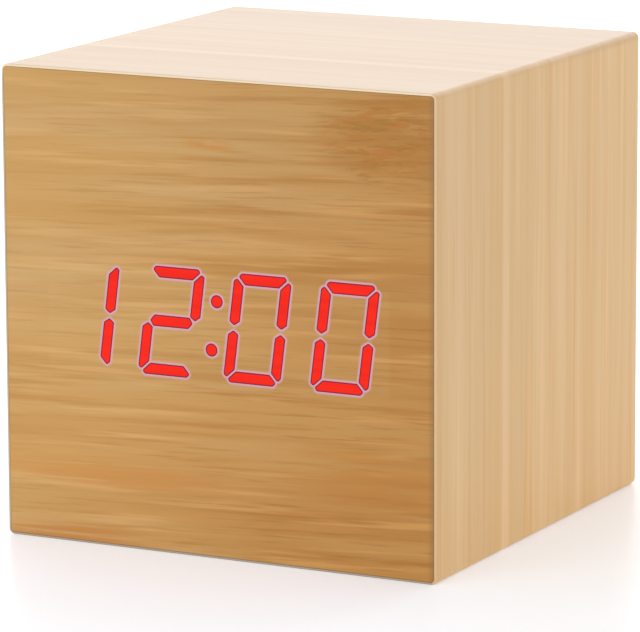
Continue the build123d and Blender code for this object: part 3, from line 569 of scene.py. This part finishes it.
# %% Halo on the face, and shade along its right edge
halo = front.span(front.stored("edge_distance"), 0.12, 0.40, 0.9, 0.0)
front_colour = front.blend(halo, front_colour, (0.70, 0.38, 0.46))
rim_shade = front.times(front.span(axes[0], HALF_SIDE - 1.4, HALF_SIDE - 0.3), 0.6)
front_colour = front.blend(rim_shade, front_colour, (0.30, 0.135, 0.03))
front.wire(front_colour, "Base Color")
front.bump(front_dark, 0.1, 0.03)
face_film.data.materials.append(front.material)
print("halo drawn from the distance to the lit shapes")

# %% [markdown]
# The light itself is even: each well is white inside and its sheet diffuses it. So the
# segments give out their own red instead of reflecting it, with only a trace of the
# film's grain, and darken in the last fifth of a millimetre before their edge.

# %% Red light
lit_surface = {"Base Color": (0.05, 0, 0, 1), "Specular IOR Level": 0.1, "Emission Strength": 1.0}
lit = Finish("lit_red", lit_surface)
lit_grain = lit.noise(lit.stretch((0.05, 1, 0.9)), 3)
lit_colour = lit.mottle(lit_grain, (0.95, 0.021, 0.008), (0.84, 0.018, 0.007))
rim = lit.span(lit.stored("edge_distance"), -0.22, -0.08)
lit.wire(lit.blend(rim, lit_colour, (0.17, 0.012, 0.046)), "Emission Color")
for piece in lit_pieces:
    piece.data.materials.append(lit.material)
print("red light in", len(lit_pieces), "pieces")

# %% [markdown]
# ## Film round the box
#
# One sheet is folded round the other four sides, so its streaks run up the right side
# and over the top without a break. The rates are low on x and z, high on y, and the
# fold needs no seam. One tan stripe with a pale one beside it goes round in front of the
# middle. Painted light makes the sides a trace paler towards the back and the foot.

# %% Film on the sides
wrap = Finish("wrap_film", {"Roughness": 0.36, "IOR": 1.6})
wrap_tones = ((0.575, 0.373, 0.162), (0.535, 0.33, 0.127))
wrap_axes = wrap.axes_mm()
top_edge = (2 * HALF_SIDE - 1.5, 2 * HALF_SIDE - 0.5)
wrap_strength = wrap.span(wrap_axes[2], *top_edge, 0.6, 0.38)
wrap_colour, wrap_dark = film_grain(wrap, (0.5, 0, 0.5), (0, 1, 0), *wrap_tones, wrap_strength)

# %% Stripes and slow changes of the sides
# y where a stripe starts, is full, is full no more and ends, its strength and its ink
stripes = (
    (-16.4, -14.8, -12.5, -12.0, 0.5, (0.52, 0.30, 0.09)),
    (-11.9, -11.4, -10.6, -8.6, 0.45, (0.66, 0.45, 0.23)),
)
for start, full, full_end, end, strength, ink in stripes:
    rise = wrap.span(wrap_axes[1], start, full)
    fall = wrap.span(wrap_axes[1], full_end, end, 1.0, 0.0)
    stripe = wrap.times(wrap.times(rise, fall), strength)
    wrap_colour = wrap.blend(stripe, wrap_colour, ink)
# painted light: the sides are a trace paler towards the back and the foot
painted_light_to_back = wrap.span(wrap_axes[1], -HALF_SIDE, HALF_SIDE, 0.995, 1.075)
painted_light_to_foot = wrap.span(wrap_axes[2], 0.0, 56.0, 1.06, 1.0)
side_colour_with_painted_light = wrap.tint(wrap_colour, wrap.times(painted_light_to_back, painted_light_to_foot))
over_top = wrap.span(wrap_axes[1], -5.0, HALF_SIDE, 1.0, 0.92)
on_side = wrap.span(wrap_axes[2], *top_edge, 1.0, 0.0)
wrap_colour = wrap.blend(on_side, wrap.tint(wrap_colour, over_top), side_colour_with_painted_light)
print(len(stripes), "stripes")

# %% [markdown]
# Where the sheet ends, round the face, its cut edge shows its unprinted core. A painted
# highlight makes it palest along the top, where light grazes it, painted shade makes it
# greyer at the foot, and a painted highlight makes it paler and more orange on the right.

# %% Cut edge of the sheet
cut_edge = wrap.span(wrap.facing_y(), -0.75, -0.35, 1.0, 0.0)
# painted light in the ramp: shade at the foot, highlight along the top
core_stops_with_painted_light = (
    (0.0, (0.40, 0.33, 0.24)),
    (0.03, (0.56, 0.44, 0.28)),
    (0.97, (0.56, 0.44, 0.28)),
    (1.0, (0.95, 0.76, 0.52)),
)
core = wrap.ramp(wrap.maths("DIVIDE", wrap_axes[2], 2 * HALF_SIDE), core_stops_with_painted_light)
# painted highlight: the cut edge is paler and more orange on the right
painted_highlight_on_right = wrap.span(wrap_axes[0], HALF_SIDE - 0.7, HALF_SIDE - 0.4, 0.0, 0.85)
core = wrap.blend(painted_highlight_on_right, core, (0.76, 0.52, 0.27))
wrap.wire(wrap.blend(cut_edge, wrap_colour, core), "Base Color")
wrap.bump(wrap_dark, 0.25, 0.03)
wrap.dress("wrap_film")

# %% [markdown]
# ## Raw fibreboard and the glue blocks
#
# The box under the film is fibreboard: wood ground to fibre and pressed with glue. It
# has no grain, only a felt of fibres, paler bundles and a few dark specks of bark, so
# its pattern has the same rate on all three axes. Its four edges show at the back of
# the clock. The glue blocks are sawn softwood, and their growth lines run along y.

# %% Fibreboard
board = Finish("fibreboard", {"Roughness": 0.85, "Specular IOR Level": 0.25})
felt = board.noise(board.stretch((1.5, 1.5, 1.5)), 5, 0.7, 1.2)
felt_tones = ((0.3, (0.21, 0.108, 0.045)), (0.5, (0.285, 0.152, 0.066)), (0.72, (0.38, 0.22, 0.105)))
board_colour = board.ramp(felt, felt_tones)
bundles = board.span(board.cells(board.stretch((2.3, 1.7, 2.3))), 0.05, 0.3, 0.55, 0.0)
board_colour = board.blend(bundles, board_colour, (0.45, 0.29, 0.15))
bark = board.span(board.noise(board.stretch((5, 5, 5), (9, 9, 9))), 0.64, 0.74, 0.0, 0.7)
board_colour = board.blend(bark, board_colour, (0.09, 0.045, 0.02))
board.wire(board_colour, "Base Color")
board.bump(felt, 0.6, 0.08)
board.dress("bottom_board", "right_board", "top_board", "left_board", "front_board")

# %% Glue blocks
softwood = Finish("glue_block_wood", {"Roughness": 0.75, "Specular IOR Level": 0.3})
growth = softwood.noise(softwood.stretch((0.9, 0.03, 0.9), (2, 2, 2)), 4, 0.6, 0.3)
saw_marks = softwood.noise(softwood.stretch((0.2, 1.8, 0.2)), 2, 0.5)
block_tones = ((0.35, (0.62, 0.41, 0.19)), (0.55, (0.53, 0.32, 0.13)), (0.66, (0.36, 0.19, 0.07)))
softwood.wire(softwood.ramp(growth, block_tones), "Base Color")
softwood.bump(saw_marks, 0.5, 0.1)
softwood.dress("corner_blocks")

# %% [markdown]
# ## Moulded plastic
#
# Most of the other pieces come out of a mould. What tells one from another is the tone,
# the gloss and the texture cut into the mould: sparked steel leaves a fine grain that
# hides scratches, and polished steel leaves a gloss with faint waves. One function makes
# them all, so that each piece only states how it differs.


# %% Moulded finish
def moulded(name, deep, pale, roughness, grain_per_mm, grain_mm, surface):
    """Plastic with faint clouds from the flow in the mould, and the grain of the mould."""
    finish = Finish(name, {"Roughness": roughness, **surface})
    clouds = finish.noise(finish.stretch((0.11, 0.11, 0.11)), 4, 0.62, 0.5)
    finish.wire(finish.mottle(clouds, deep, pale, 0.36, 0.66), "Base Color")
    grain = finish.noise(finish.stretch([grain_per_mm] * 3), 2, 0.6)
    finish.wire(finish.span(grain, 0.3, 0.7, roughness - 0.07, roughness + 0.07), "Roughness")
    finish.bump(grain, 0.5, grain_mm)
    return finish


cover_solids = ("back_cover", "battery_door", "door_latch")
cap_solids = ("button_set", "button_up", "button_down")
switch_solids = ("button_switches", "plunger_set", "plunger_up", "plunger_down")
# finish, deep and pale tone, roughness, grain per millimetre and its depth, solids
mouldings = (
    ("cover_plastic", (0.006, 0.006, 0.0065), (0.012, 0.012, 0.0125), 0.5, 3.6, 0.09, cover_solids),
    ("button_plastic", (0.013, 0.013, 0.014), (0.019, 0.019, 0.02), 0.3, 0.6, 0.02, cap_solids),
    ("switch_plastic", (0.02, 0.02, 0.022), (0.03, 0.03, 0.032), 0.4, 3.0, 0.02, switch_solids),
    ("socket_plastic", (0.01, 0.01, 0.01), (0.016, 0.016, 0.016), 0.22, 0.9, 0.015, ["dc_socket"]),
    ("buzzer_plastic", (0.012, 0.012, 0.012), (0.02, 0.02, 0.02), 0.42, 4.0, 0.03, ["buzzer"]),
    ("chip_epoxy", (0.014, 0.014, 0.015), (0.024, 0.024, 0.025), 0.55, 9.0, 0.02, ["microcontroller"]),
    ("header_plastic", (0.68, 0.64, 0.53), (0.74, 0.70, 0.60), 0.45, 1.2, 0.02, ["ribbon_headers"]),
    ("reflector_plastic", (0.58, 0.58, 0.55), (0.66, 0.66, 0.63), 0.6, 3.5, 0.03, ["display_reflector"]),
    ("spacer_nylon", (0.70, 0.68, 0.60), (0.77, 0.75, 0.67), 0.5, 1.0, 0.02, ["display_spacers"]),
    ("diffuser", (0.68, 0.58, 0.56), (0.74, 0.65, 0.62), 0.7, 6.0, 0.02, ["diffuser_sheet"]),
    ("thermistor_bead", (0.012, 0.009, 0.008), (0.022, 0.017, 0.014), 0.25, 1.5, 0.05, ["thermistor"]),
    ("capacitor_sleeve", (0.003, 0.006, 0.018), (0.006, 0.011, 0.028), 0.2, 0.8, 0.02, ["capacitor"]),
    ("wire_red", (0.33, 0.004, 0.002), (0.42, 0.008, 0.004), 0.3, 1.4, 0.02, ["lead_red"]),
    ("wire_black", (0.004, 0.004, 0.004), (0.009, 0.009, 0.009), 0.3, 1.4, 0.02, ["lead_black"]),
)
surfaces = {
    "cover_plastic": {"Specular IOR Level": 0.4},
    "spacer_nylon": {"Subsurface Weight": 0.1, "Subsurface Scale": 0.0005},
}
for name, *settings, solids in mouldings:
    moulded(name, *settings, surfaces.get(name, {})).dress(*solids)

# %% [markdown]
# ## Plated metal
#
# The contacts, the two cans and the socket's pin are plated sheet or drawn metal. Their
# colour hardly varies; what shows is how rubbed they are, in lines along the way that
# they were drawn, and a few dull patches left by handling.


# %% Plated finish
def plated(name, bright, dull, roughness, rubbed_per_mm):
    """Metal rubbed along one axis: the low rate of rubbed_per_mm is the way of the lines."""
    finish = Finish(name, {"Metallic": 1.0})
    patches = finish.noise(finish.stretch((0.35, 0.35, 0.35), (4, 4, 4)), 3, 0.6, 0.4)
    finish.wire(finish.mottle(patches, bright, dull, 0.42, 0.68), "Base Color")
    lines = finish.noise(finish.stretch(rubbed_per_mm), 3, 0.65)
    finish.wire(finish.span(lines, 0.3, 0.7, roughness - 0.07, roughness + 0.12), "Roughness")
    finish.bump(lines, 0.25, 0.01)
    return finish


plated("contact_nickel", (0.60, 0.58, 0.52), (0.42, 0.40, 0.35), 0.28, (5, 5, 0.3)).dress(
    "contact_positive", "contact_bridge_right", "contact_bridge_left", "contact_negative"
)
plated("socket_pin_metal", (0.62, 0.48, 0.22), (0.45, 0.34, 0.15), 0.25, (4, 0.3, 4)).dress("dc_socket_pin")
plated("microphone_can", (0.56, 0.56, 0.55), (0.42, 0.42, 0.41), 0.35, (3, 0.4, 3)).dress("microphone")
plated("crystal_can", (0.60, 0.60, 0.58), (0.46, 0.46, 0.44), 0.22, (0.4, 4, 4)).dress("crystal")

# %% [markdown]
# ## Cells
#
# Each cell is a steel can in a shrunk plastic sleeve that leaves both ends bare. The
# cells lie along x, so a mask on x cuts the sleeve off near their ends, and the same
# mask turns the surface from plastic to metal.

# %% Cells in their sleeves
cell = Finish("cell_jacket", {"Roughness": 0.28})
cell_low, cell_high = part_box("battery_top")
cell_middle = (cell_low.x + cell_high.x) / 2 / MM
cell_half = (cell_high.x - cell_low.x) / 2 / MM
sleeve_end = cell_half - 1.25
from_middle = cell.maths("SUBTRACT", cell.axes_mm()[0], cell_middle)
bare = cell.span(cell.maths("ABSOLUTE", from_middle), sleeve_end - 0.05, sleeve_end + 0.05)
shrink_folds = cell.noise(cell.stretch((0.08, 0.9, 0.9)), 3, 0.6)
sleeve = cell.mottle(shrink_folds, (0.019, 0.068, 0.030), (0.030, 0.092, 0.044), 0.3, 0.7)
turned = cell.noise(cell.stretch((6, 1.2, 1.2)), 2)
steel = cell.mottle(turned, (0.50, 0.50, 0.49), (0.62, 0.61, 0.59))
cell.wire(cell.blend(bare, sleeve, steel), "Base Color")
cell.wire(bare, "Metallic")
cell.bump(shrink_folds, 0.3, 0.05)
cell.dress("battery_bottom", "battery_middle", "battery_top")
print("sleeves end", round(sleeve_end, 2), "mm from the middle of the cells")

# %% [markdown]
# ## Circuit boards
#
# Both boards stand upright, so their pattern is drawn on x and z. Green lacquer covers
# the copper: tracks show as a lighter green, here the joints of two brick patterns, and
# soldered pads stay bare. The sawn edges show the tan glass laminate, picked out by
# the way that the surface faces.

# %% Lacquered laminate
laminate = Finish("circuit_laminate", {"Roughness": 0.35})
upright = (math.pi / 2, 0, 0)
tracks = []
for brick_width, row_height, shift in ((3.4, 1.27, 0.0), (9.0, 3.1, 5.0)):
    wires = {
        "Vector": laminate.stretch((1, 1, 1), (shift, shift, 0), upright),
        "Scale": 1,
        "Mortar Size": 0.12,
        "Mortar Smooth": 0.3,
        "Brick Width": brick_width,
        "Row Height": row_height,
    }
    tracks.append(laminate.add("ShaderNodeTexBrick", wires, "Fac", offset=0.37))
track = laminate.maths("MAXIMUM", *tracks)
weave = laminate.noise(laminate.stretch((2.5, 2.5, 2.5)), 2, 0.5)
lacquer = laminate.mottle(weave, (0.004, 0.058, 0.018), (0.006, 0.075, 0.024))
lacquer = laminate.blend(laminate.times(track, 0.8), lacquer, (0.014, 0.135, 0.045))
pads = laminate.span(laminate.cells(laminate.stretch((0.42, 0.42, 0.42))), 0.10, 0.13, 1.0, 0.0)
lacquer = laminate.blend(pads, lacquer, (0.55, 0.54, 0.50))
sawn = laminate.span(laminate.maths("ABSOLUTE", laminate.facing_y()), 0.3, 0.6, 1.0, 0.0)
laminate.wire(laminate.blend(sawn, lacquer, (0.40, 0.36, 0.17)), "Base Color")
laminate.wire(laminate.times(pads, laminate.maths("SUBTRACT", 1.0, sawn)), "Metallic")
laminate.bump(laminate.maths("ADD", track, pads), 0.5, 0.04)
laminate.dress("display_board", "control_board")

# %% [markdown]
# ## Ribbon cable
#
# A ribbon cable is a row of thin wires whose vinyl coats are moulded together, so its
# surface is a set of round ribs. The ribs follow the cable's length, and x never
# changes along it: a sine of x gives them, and its hollows are a little darker.

# %% Ribs of the ribbon
ribbon = Finish("ribbon_insulation", {"Roughness": 0.45})
ribbon_low, ribbon_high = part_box("ribbon_cable")
wire_count = 7
wire_pitch = (ribbon_high.x - ribbon_low.x) / MM / wire_count
from_edge = ribbon.maths("SUBTRACT", ribbon.axes_mm()[0], ribbon_low.x / MM)
turns = ribbon.times(from_edge, math.pi / wire_pitch)
ribs = ribbon.maths("ABSOLUTE", ribbon.maths("SINE", turns))
vinyl_clouds = ribbon.noise(ribbon.stretch((0.4, 0.2, 0.2)), 3)
vinyl = ribbon.mottle(vinyl_clouds, (0.29, 0.29, 0.27), (0.34, 0.34, 0.32))
hollows = ribbon.span(ribs, 0.0, 0.35, 0.6, 0.0)
vinyl = ribbon.blend(hollows, vinyl, (0.12, 0.12, 0.11))
ribbon.wire(vinyl, "Base Color")
ribbon.bump(ribs, 0.8, 0.25)
ribbon.dress("ribbon_cable")
print(wire_count, "wires at", round(wire_pitch, 3), "mm")

# %% [markdown]
# ## Screws
#
# Ten pan-head screws of one kind hold the clock together. The CAD solids have plain
# shanks, so the real shape is made here once, as a Geometry Nodes tree: a domed head
# with a tapered cross recess, a core, a point, and a thread swept along a helix. The
# tree then puts one on every point of a mesh, each turned by its own random angle,
# since no screw stops in line with its neighbour. Its sizes are named inputs: the three
# sets differ only in length and in the way that they face.
#
# The helper for trees serves here too. It gets what meshes need, and ends every tree in
# the same way, by placing, realizing and dressing.


# %% Helper for Geometry Nodes trees
class Recipe(Tree):
    """One Geometry Nodes tree under way: its inputs, its nodes and its output."""

    def __init__(self, name, sockets):
        self.tree = bpy.data.node_groups.new(name, "GeometryNodeTree")
        interface = self.tree.interface
        for label, kind, value in (("Places", "Geometry", None), ("Material", "Material", None), *sockets):
            socket = interface.new_socket(label, in_out="INPUT", socket_type=f"NodeSocket{kind}")
            if value is not None:
                socket.default_value = value
        interface.new_socket("Pieces", in_out="OUTPUT", socket_type="NodeSocketGeometry")
        self.given = self.tree.nodes.new("NodeGroupInput").outputs

    def vector(self, x=0.0, y=0.0, z=0.0):
        return self.add("ShaderNodeCombineXYZ", {0: x, 1: y, 2: z})

    def part_of_place(self, axis):
        """One coordinate of the point that is being worked on."""
        return self.add("ShaderNodeSeparateXYZ", {0: self.add("GeometryNodeInputPosition")}, axis)

    def cylinder(self, corners, radius, depth, **settings):
        """Upright cylinder about the origin."""
        wires = {"Vertices": corners, "Radius": radius, "Depth": depth}
        return self.add("GeometryNodeMeshCylinder", wires, **settings)

    def cut(self, mesh, cutters):
        wires = {0: mesh, 1: cutters}
        return self.add("GeometryNodeMeshBoolean", wires, operation="DIFFERENCE", solver="EXACT")

    def lifted(self, mesh, height):
        return self.add("GeometryNodeTransform", {"Geometry": mesh, "Translation": self.vector(z=height)})

    def placed(self, mesh, facing, spin):
        """Put the mesh on every place, its z axis along facing and spun about it, and end the tree."""
        faced = self.add("FunctionNodeAlignRotationToVector", {"Vector": facing}, axis="Z")
        spun = {0: faced, 1: self.vector(z=spin)}
        turned = self.add("FunctionNodeRotateRotation", spun, rotation_space="LOCAL")
        wires = {"Points": self.given["Places"], "Instance": mesh, "Rotation": turned}
        real = self.add("GeometryNodeRealizeInstances", {0: self.add("GeometryNodeInstanceOnPoints", wires)})
        shown = self.add("GeometryNodeSetMaterial", {"Geometry": real, "Material": self.given["Material"]})
        self.tree.links.new(shown, self.tree.nodes.new("NodeGroupOutput").inputs[0])


# %% Head of the screw, with its recess
head_height = 0.9 * MM
screw = Recipe(
    "pan_head_screws",
    (
        ("Head Radius", "Float", 1.6 * MM),
        ("Head Height", "Float", head_height),
        ("Core Radius", "Float", 0.7 * MM),
        ("Thread Radius", "Float", 0.9 * MM),
        ("Thread Pitch", "Float", 0.6 * MM),
        ("Shank Length", "Float", 6.0 * MM),
        ("Point Length", "Float", 0.8 * MM),
        ("Recess Length", "Float", 1.8 * MM),
        ("Recess Width", "Float", 0.45 * MM),
        ("Recess Depth", "Float", 0.5 * MM),
        ("Facing", "Vector", (0, 1, 0)),
        ("Seed", "Int", 12),
    ),
)
given = screw.given
drum = screw.cylinder(40, given["Head Radius"], given["Head Height"], fill_type="TRIANGLE_FAN")
drum.node.inputs["Fill Segments"].default_value = 5
drum = screw.lifted(drum, screw.times(given["Head Height"], 0.5))
squares = [screw.maths("POWER", screw.part_of_place(k), 2.0) for k in (0, 1)]
from_axis = screw.maths("SQRT", screw.maths("ADD", *squares))
outward = screw.maths("DIVIDE", from_axis, given["Head Radius"])
sinking = screw.times(screw.times(screw.maths("POWER", outward, 2.4), -0.62), given["Head Height"])
on_top = screw.maths("GREATER_THAN", screw.part_of_place(2), screw.times(given["Head Height"], 0.5))
dome_wires = {"Geometry": drum, "Selection": on_top, "Offset": screw.vector(z=sinking)}
dome = screw.add("GeometryNodeSetPosition", dome_wires)

cutter_height = screw.times(given["Recess Depth"], 2.0)
wings = []
for along, across in (("Recess Length", "Recess Width"), ("Recess Width", "Recess Length")):
    wing_size = screw.vector(given[along], given[across], cutter_height)
    wing = screw.add("GeometryNodeMeshCube", {"Size": wing_size})
    share = screw.maths("DIVIDE", screw.part_of_place(2), cutter_height)
    width = screw.maths("ADD", 0.75, screw.times(share, 0.5))
    sides = [screw.times(screw.part_of_place(k), width) for k in (0, 1)]
    tapered = screw.vector(*sides, screw.part_of_place(2))
    wing = screw.add("GeometryNodeSetPosition", {"Geometry": wing, "Position": tapered})
    wings.append(screw.lifted(wing, given["Head Height"]))
head = screw.cut(dome, wings)
print("head and recess:", len(screw.tree.nodes), "nodes")

# %% Shank of the screw, with its thread
straight = screw.maths("SUBTRACT", given["Shank Length"], given["Point Length"])
core = screw.lifted(screw.cylinder(24, given["Core Radius"], straight), screw.times(straight, -0.5))
tip_sizes = {"Vertices": 24, "Radius Top": given["Core Radius"]}
tip_sizes |= {"Radius Bottom": 0.1 * MM, "Depth": given["Point Length"]}
tip = screw.lifted(screw.add("GeometryNodeMeshCone", tip_sizes), screw.times(given["Shank Length"], -1.0))

helix_radius = screw.times(screw.maths("ADD", given["Core Radius"], given["Thread Radius"]), 0.5)
wound = screw.maths("SUBTRACT", straight, 0.5 * MM)
helix_sizes = {
    "Resolution": 20,
    "Rotations": screw.maths("DIVIDE", wound, given["Thread Pitch"]),
    "Start Radius": helix_radius,
    "End Radius": helix_radius,
    "Height": wound,
}
rib_radius = screw.maths("SUBTRACT", given["Thread Radius"], helix_radius)
rib = screw.add("GeometryNodeCurvePrimitiveCircle", {"Resolution": 6, "Radius": rib_radius})
helix = screw.add("GeometryNodeCurveSpiral", helix_sizes)
thread = screw.add("GeometryNodeCurveToMesh", {"Curve": helix, "Profile Curve": rib, "Fill Caps": True})
thread = screw.lifted(thread, screw.maths("SUBTRACT", 0.25 * MM, straight))
whole_screw = screw.add("GeometryNodeJoinGeometry", {0: [head, core, tip, thread]})
chance = screw.add("FunctionNodeRandomValue", {2: 0.0, 3: math.pi, "Seed": given["Seed"]}, 1)
screw.placed(whole_screw, given["Facing"], chance)
print("whole screw:", len(screw.tree.nodes), "nodes")

# %% [markdown]
# The places of the screws come from the CAD model. A node that holds several solids is
# taken apart by its loose pieces, and the box of each piece tells where it is.


# %% Run a tree on the solids of a CAD node
def solid_boxes(name):
    """Lowest and highest corner of each separate solid in a CAD node, in metres."""
    mesh = bmesh.new()
    mesh.from_mesh(nodes[name].data)
    bmesh.ops.remove_doubles(mesh, verts=mesh.verts, dist=0.0005 * MM)
    waiting, boxes = set(mesh.verts), []
    while waiting:
        reached, solid = [waiting.pop()], []
        while reached:
            vert = reached.pop()
            solid.append(tuple(vert.co))
            for edge in vert.link_edges:
                other = edge.other_vert(vert)
                if other in waiting:
                    waiting.remove(other)
                    reached.append(other)
        boxes.append((np.min(solid, axis=0), np.max(solid, axis=0)))
    mesh.free()
    return sorted(boxes, key=lambda box: tuple(box[0]))


def grown(name, replaced, recipe, places, settings, turns=None):
    """Piece that a tree grows on some places, in the stead of a CAD node."""
    seeds = bpy.data.meshes.new(name + "_places")
    seeds.from_pydata([tuple(place) for place in places], [], [])
    if turns:
        seeds.attributes.new("turn", "FLOAT", "POINT").data.foreach_set("value", turns)
    holder = bpy.data.objects.new(name + "_holder", seeds)
    scene_objects.link(holder)
    modifier = holder.modifiers.new(name, "NODES")
    modifier.node_group = recipe.tree
    for item in recipe.tree.interface.items_tree:
        if item.in_out == "INPUT" and item.name in settings:
            modifier[item.identifier] = settings[item.name]
    mesh = bpy.data.meshes.new_from_object(holder.evaluated_get(bpy.context.evaluated_depsgraph_get()))
    mesh.name = name
    while None in mesh.materials[:]:
        mesh.materials.pop(index=mesh.materials[:].index(None))
    holder.modifiers.remove(modifier)
    bpy.data.objects.remove(holder)
    return stand_in(name, mesh, replaced)


# %% [markdown]
# The screws are zinc plated: a dull grey in clouds, smoother where it is worn. Each set
# takes its places and its length from the solids that it replaces. Two sets face the
# back of the clock, and the control board's face its front.

# %% Screws in their places
zinc = Finish("screw_steel", {"Metallic": 1.0})
zinc_cloud = zinc.noise(zinc.stretch((0.9, 0.9, 0.9)), 4, 0.65, 0.8)
zinc_tones = ((0.36, (0.50, 0.50, 0.47)), (0.5, (0.58, 0.57, 0.52)), (0.66, (0.46, 0.47, 0.46)))
zinc.wire(zinc.ramp(zinc_cloud, zinc_tones), "Base Color")
wear = zinc.noise(zinc.stretch((4, 4, 4)), 2, 0.6)
zinc.wire(zinc.span(wear, 0.3, 0.7, 0.22, 0.42), "Roughness")
zinc.bump(wear, 0.2, 0.01)

screw_sets = (
    ("cover_fixings", "back_cover_screws", 1),
    ("module_fixings", "display_screws", 1),
    ("board_fixings", "control_board_screws", -1),
)
for name, replaced, facing in screw_sets:
    boxes = solid_boxes(replaced)
    seats = [((low + high) / 2)[[0, 2]] for low, high in boxes]
    seat_y = boxes[0][1][1] - head_height if facing > 0 else boxes[0][0][1] + head_height
    shank = boxes[0][1][1] - boxes[0][0][1] - head_height
    settings = {"Shank Length": shank, "Facing": (0.0, float(facing), 0.0), "Material": zinc.material}
    grown(name, replaced, screw, [(x, seat_y, z) for x, z in seats], settings)

# %% [markdown]
# ## Light chips
#
# A surface-mounted light chip is a small white cup with clear resin in it. There is one
# behind each of the 28 segments and each dot, all from one reel, so they are a second
# tree: a block, a round cup cut into it and a plug of resin, turned to lie along its
# segment. The turn of each is read from its CAD solid and stored on its place, and the
# resin carries a mark that its finish reads.

# %% Light chip
chip = Recipe(
    "light_chips",
    (
        ("Length", "Float", 1.6 * MM),
        ("Width", "Float", 0.8 * MM),
        ("Height", "Float", 0.6 * MM),
        ("Cup Radius", "Float", 0.32 * MM),
        ("Cup Depth", "Float", 0.22 * MM),
        ("Resin Sag", "Float", 0.04 * MM),
    ),
)
given = chip.given
block_size = chip.vector(given["Length"], given["Width"], given["Height"])
block = chip.add("GeometryNodeMeshCube", {"Size": block_size})
block = chip.lifted(block, chip.times(given["Height"], 0.5))
borer = chip.cylinder(28, given["Cup Radius"], chip.times(given["Cup Depth"], 2.0))
cup = chip.cut(block, chip.lifted(borer, given["Height"]))
plug_height = chip.maths("SUBTRACT", given["Cup Depth"], given["Resin Sag"])
plug = chip.cylinder(28, given["Cup Radius"], plug_height)
plug_middle = chip.maths("ADD", given["Resin Sag"], chip.times(plug_height, 0.5))
plug = chip.lifted(plug, chip.maths("SUBTRACT", given["Height"], plug_middle))
marked = chip.add("GeometryNodeStoreNamedAttribute", {"Geometry": plug, "Name": "resin", "Value": 1.0})
chip_turn = chip.add("GeometryNodeInputNamedAttribute", {"Name": "turn"}, data_type="FLOAT")
chip.placed(chip.add("GeometryNodeJoinGeometry", {0: [cup, marked]}), (0, -1, 0), chip_turn)
print("light chip:", len(chip.tree.nodes), "nodes")

# %% Chips in their places
chip_look = Finish("light_chip_resin", {"Roughness": 0.3})
resin = chip_look.stored("resin")
haze = chip_look.noise(chip_look.stretch((3, 3, 3)), 3)
cup_tone = chip_look.mottle(haze, (0.70, 0.69, 0.64), (0.78, 0.77, 0.73))
resin_tone = chip_look.mottle(haze, (0.62, 0.43, 0.12), (0.70, 0.52, 0.18))
chip_look.wire(chip_look.blend(resin, cup_tone, resin_tone), "Base Color")
chip_look.wire(chip_look.span(resin, 0.0, 1.0, 0.5, 0.12), "Roughness")
chip_look.bump(haze, 0.2, 0.01)

chip_boxes = solid_boxes("light_chips")
chip_places = [((low[0] + high[0]) / 2, high[1], (low[2] + high[2]) / 2) for low, high in chip_boxes]
chip_turns = [0.0 if high[0] - low[0] > 1.2 * MM else math.pi / 2 for low, high in chip_boxes]
chip_settings = {"Material": chip_look.material}
grown("chip_cups", "light_chips", chip, chip_places, chip_settings, chip_turns)

# %% [markdown]
# ## Floor
#
# The sweep is matt white with the faintest sheen, enough for a pale reflection at the
# foot of the clock. It glows a little, as a lit white sweep does in a photograph that
# is exposed for the object; a weaker glow close to the clock and on its right is the
# clock's shadow, painted into the glow.

# %% Floor
floor_mesh = bpy.data.meshes.new("floor")
floor_half = 6.0
floor_corners = [(x * floor_half, y * floor_half, 0) for x, y in ((-1, -1), (1, -1), (1, 1), (-1, 1))]
floor_mesh.from_pydata(floor_corners, [], [(0, 1, 2, 3)])
floor = bpy.data.objects.new("floor", floor_mesh)
scene_objects.link(floor)
sweep = Finish("floor_white", {"Roughness": 0.3, "IOR": 1.12})
sweep.shader.inputs["Emission Color"].default_value = (0.76, 0.87, 1, 1)
from_clock = sweep.stretch((1, 1, 1))
shaded_way = {0: from_clock, 1: (0.87, 0.5, 0)}
to_the_right = sweep.add("ShaderNodeVectorMath", shaded_way, "Value", operation="DOT_PRODUCT")
outwards = sweep.add("ShaderNodeVectorMath", {0: from_clock}, "Value", operation="LENGTH")
# painted shadow: the glow is weaker on the clock's shaded right and close to the clock
right_glow_with_painted_shade = sweep.span(to_the_right, -10.0, 45.0, 0.41, 0.26)
glow = sweep.times(right_glow_with_painted_shade, sweep.span(outwards, 40.0, 95.0, 0.89, 1.06))
sweep.wire(glow, "Emission Strength")
floor_tone = sweep.noise(sweep.stretch((0.02, 0.02, 0.02)), 2)
sweep.wire(sweep.blend(floor_tone, (0.93, 0.92, 0.92), (0.95, 0.94, 0.94)), "Base Color")
floor_mesh.materials.append(sweep.material)
floor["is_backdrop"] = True
print("floor", 2 * floor_half, "m wide")

# %% Finish
boxes = {"cad": clock_box, "shown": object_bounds()}
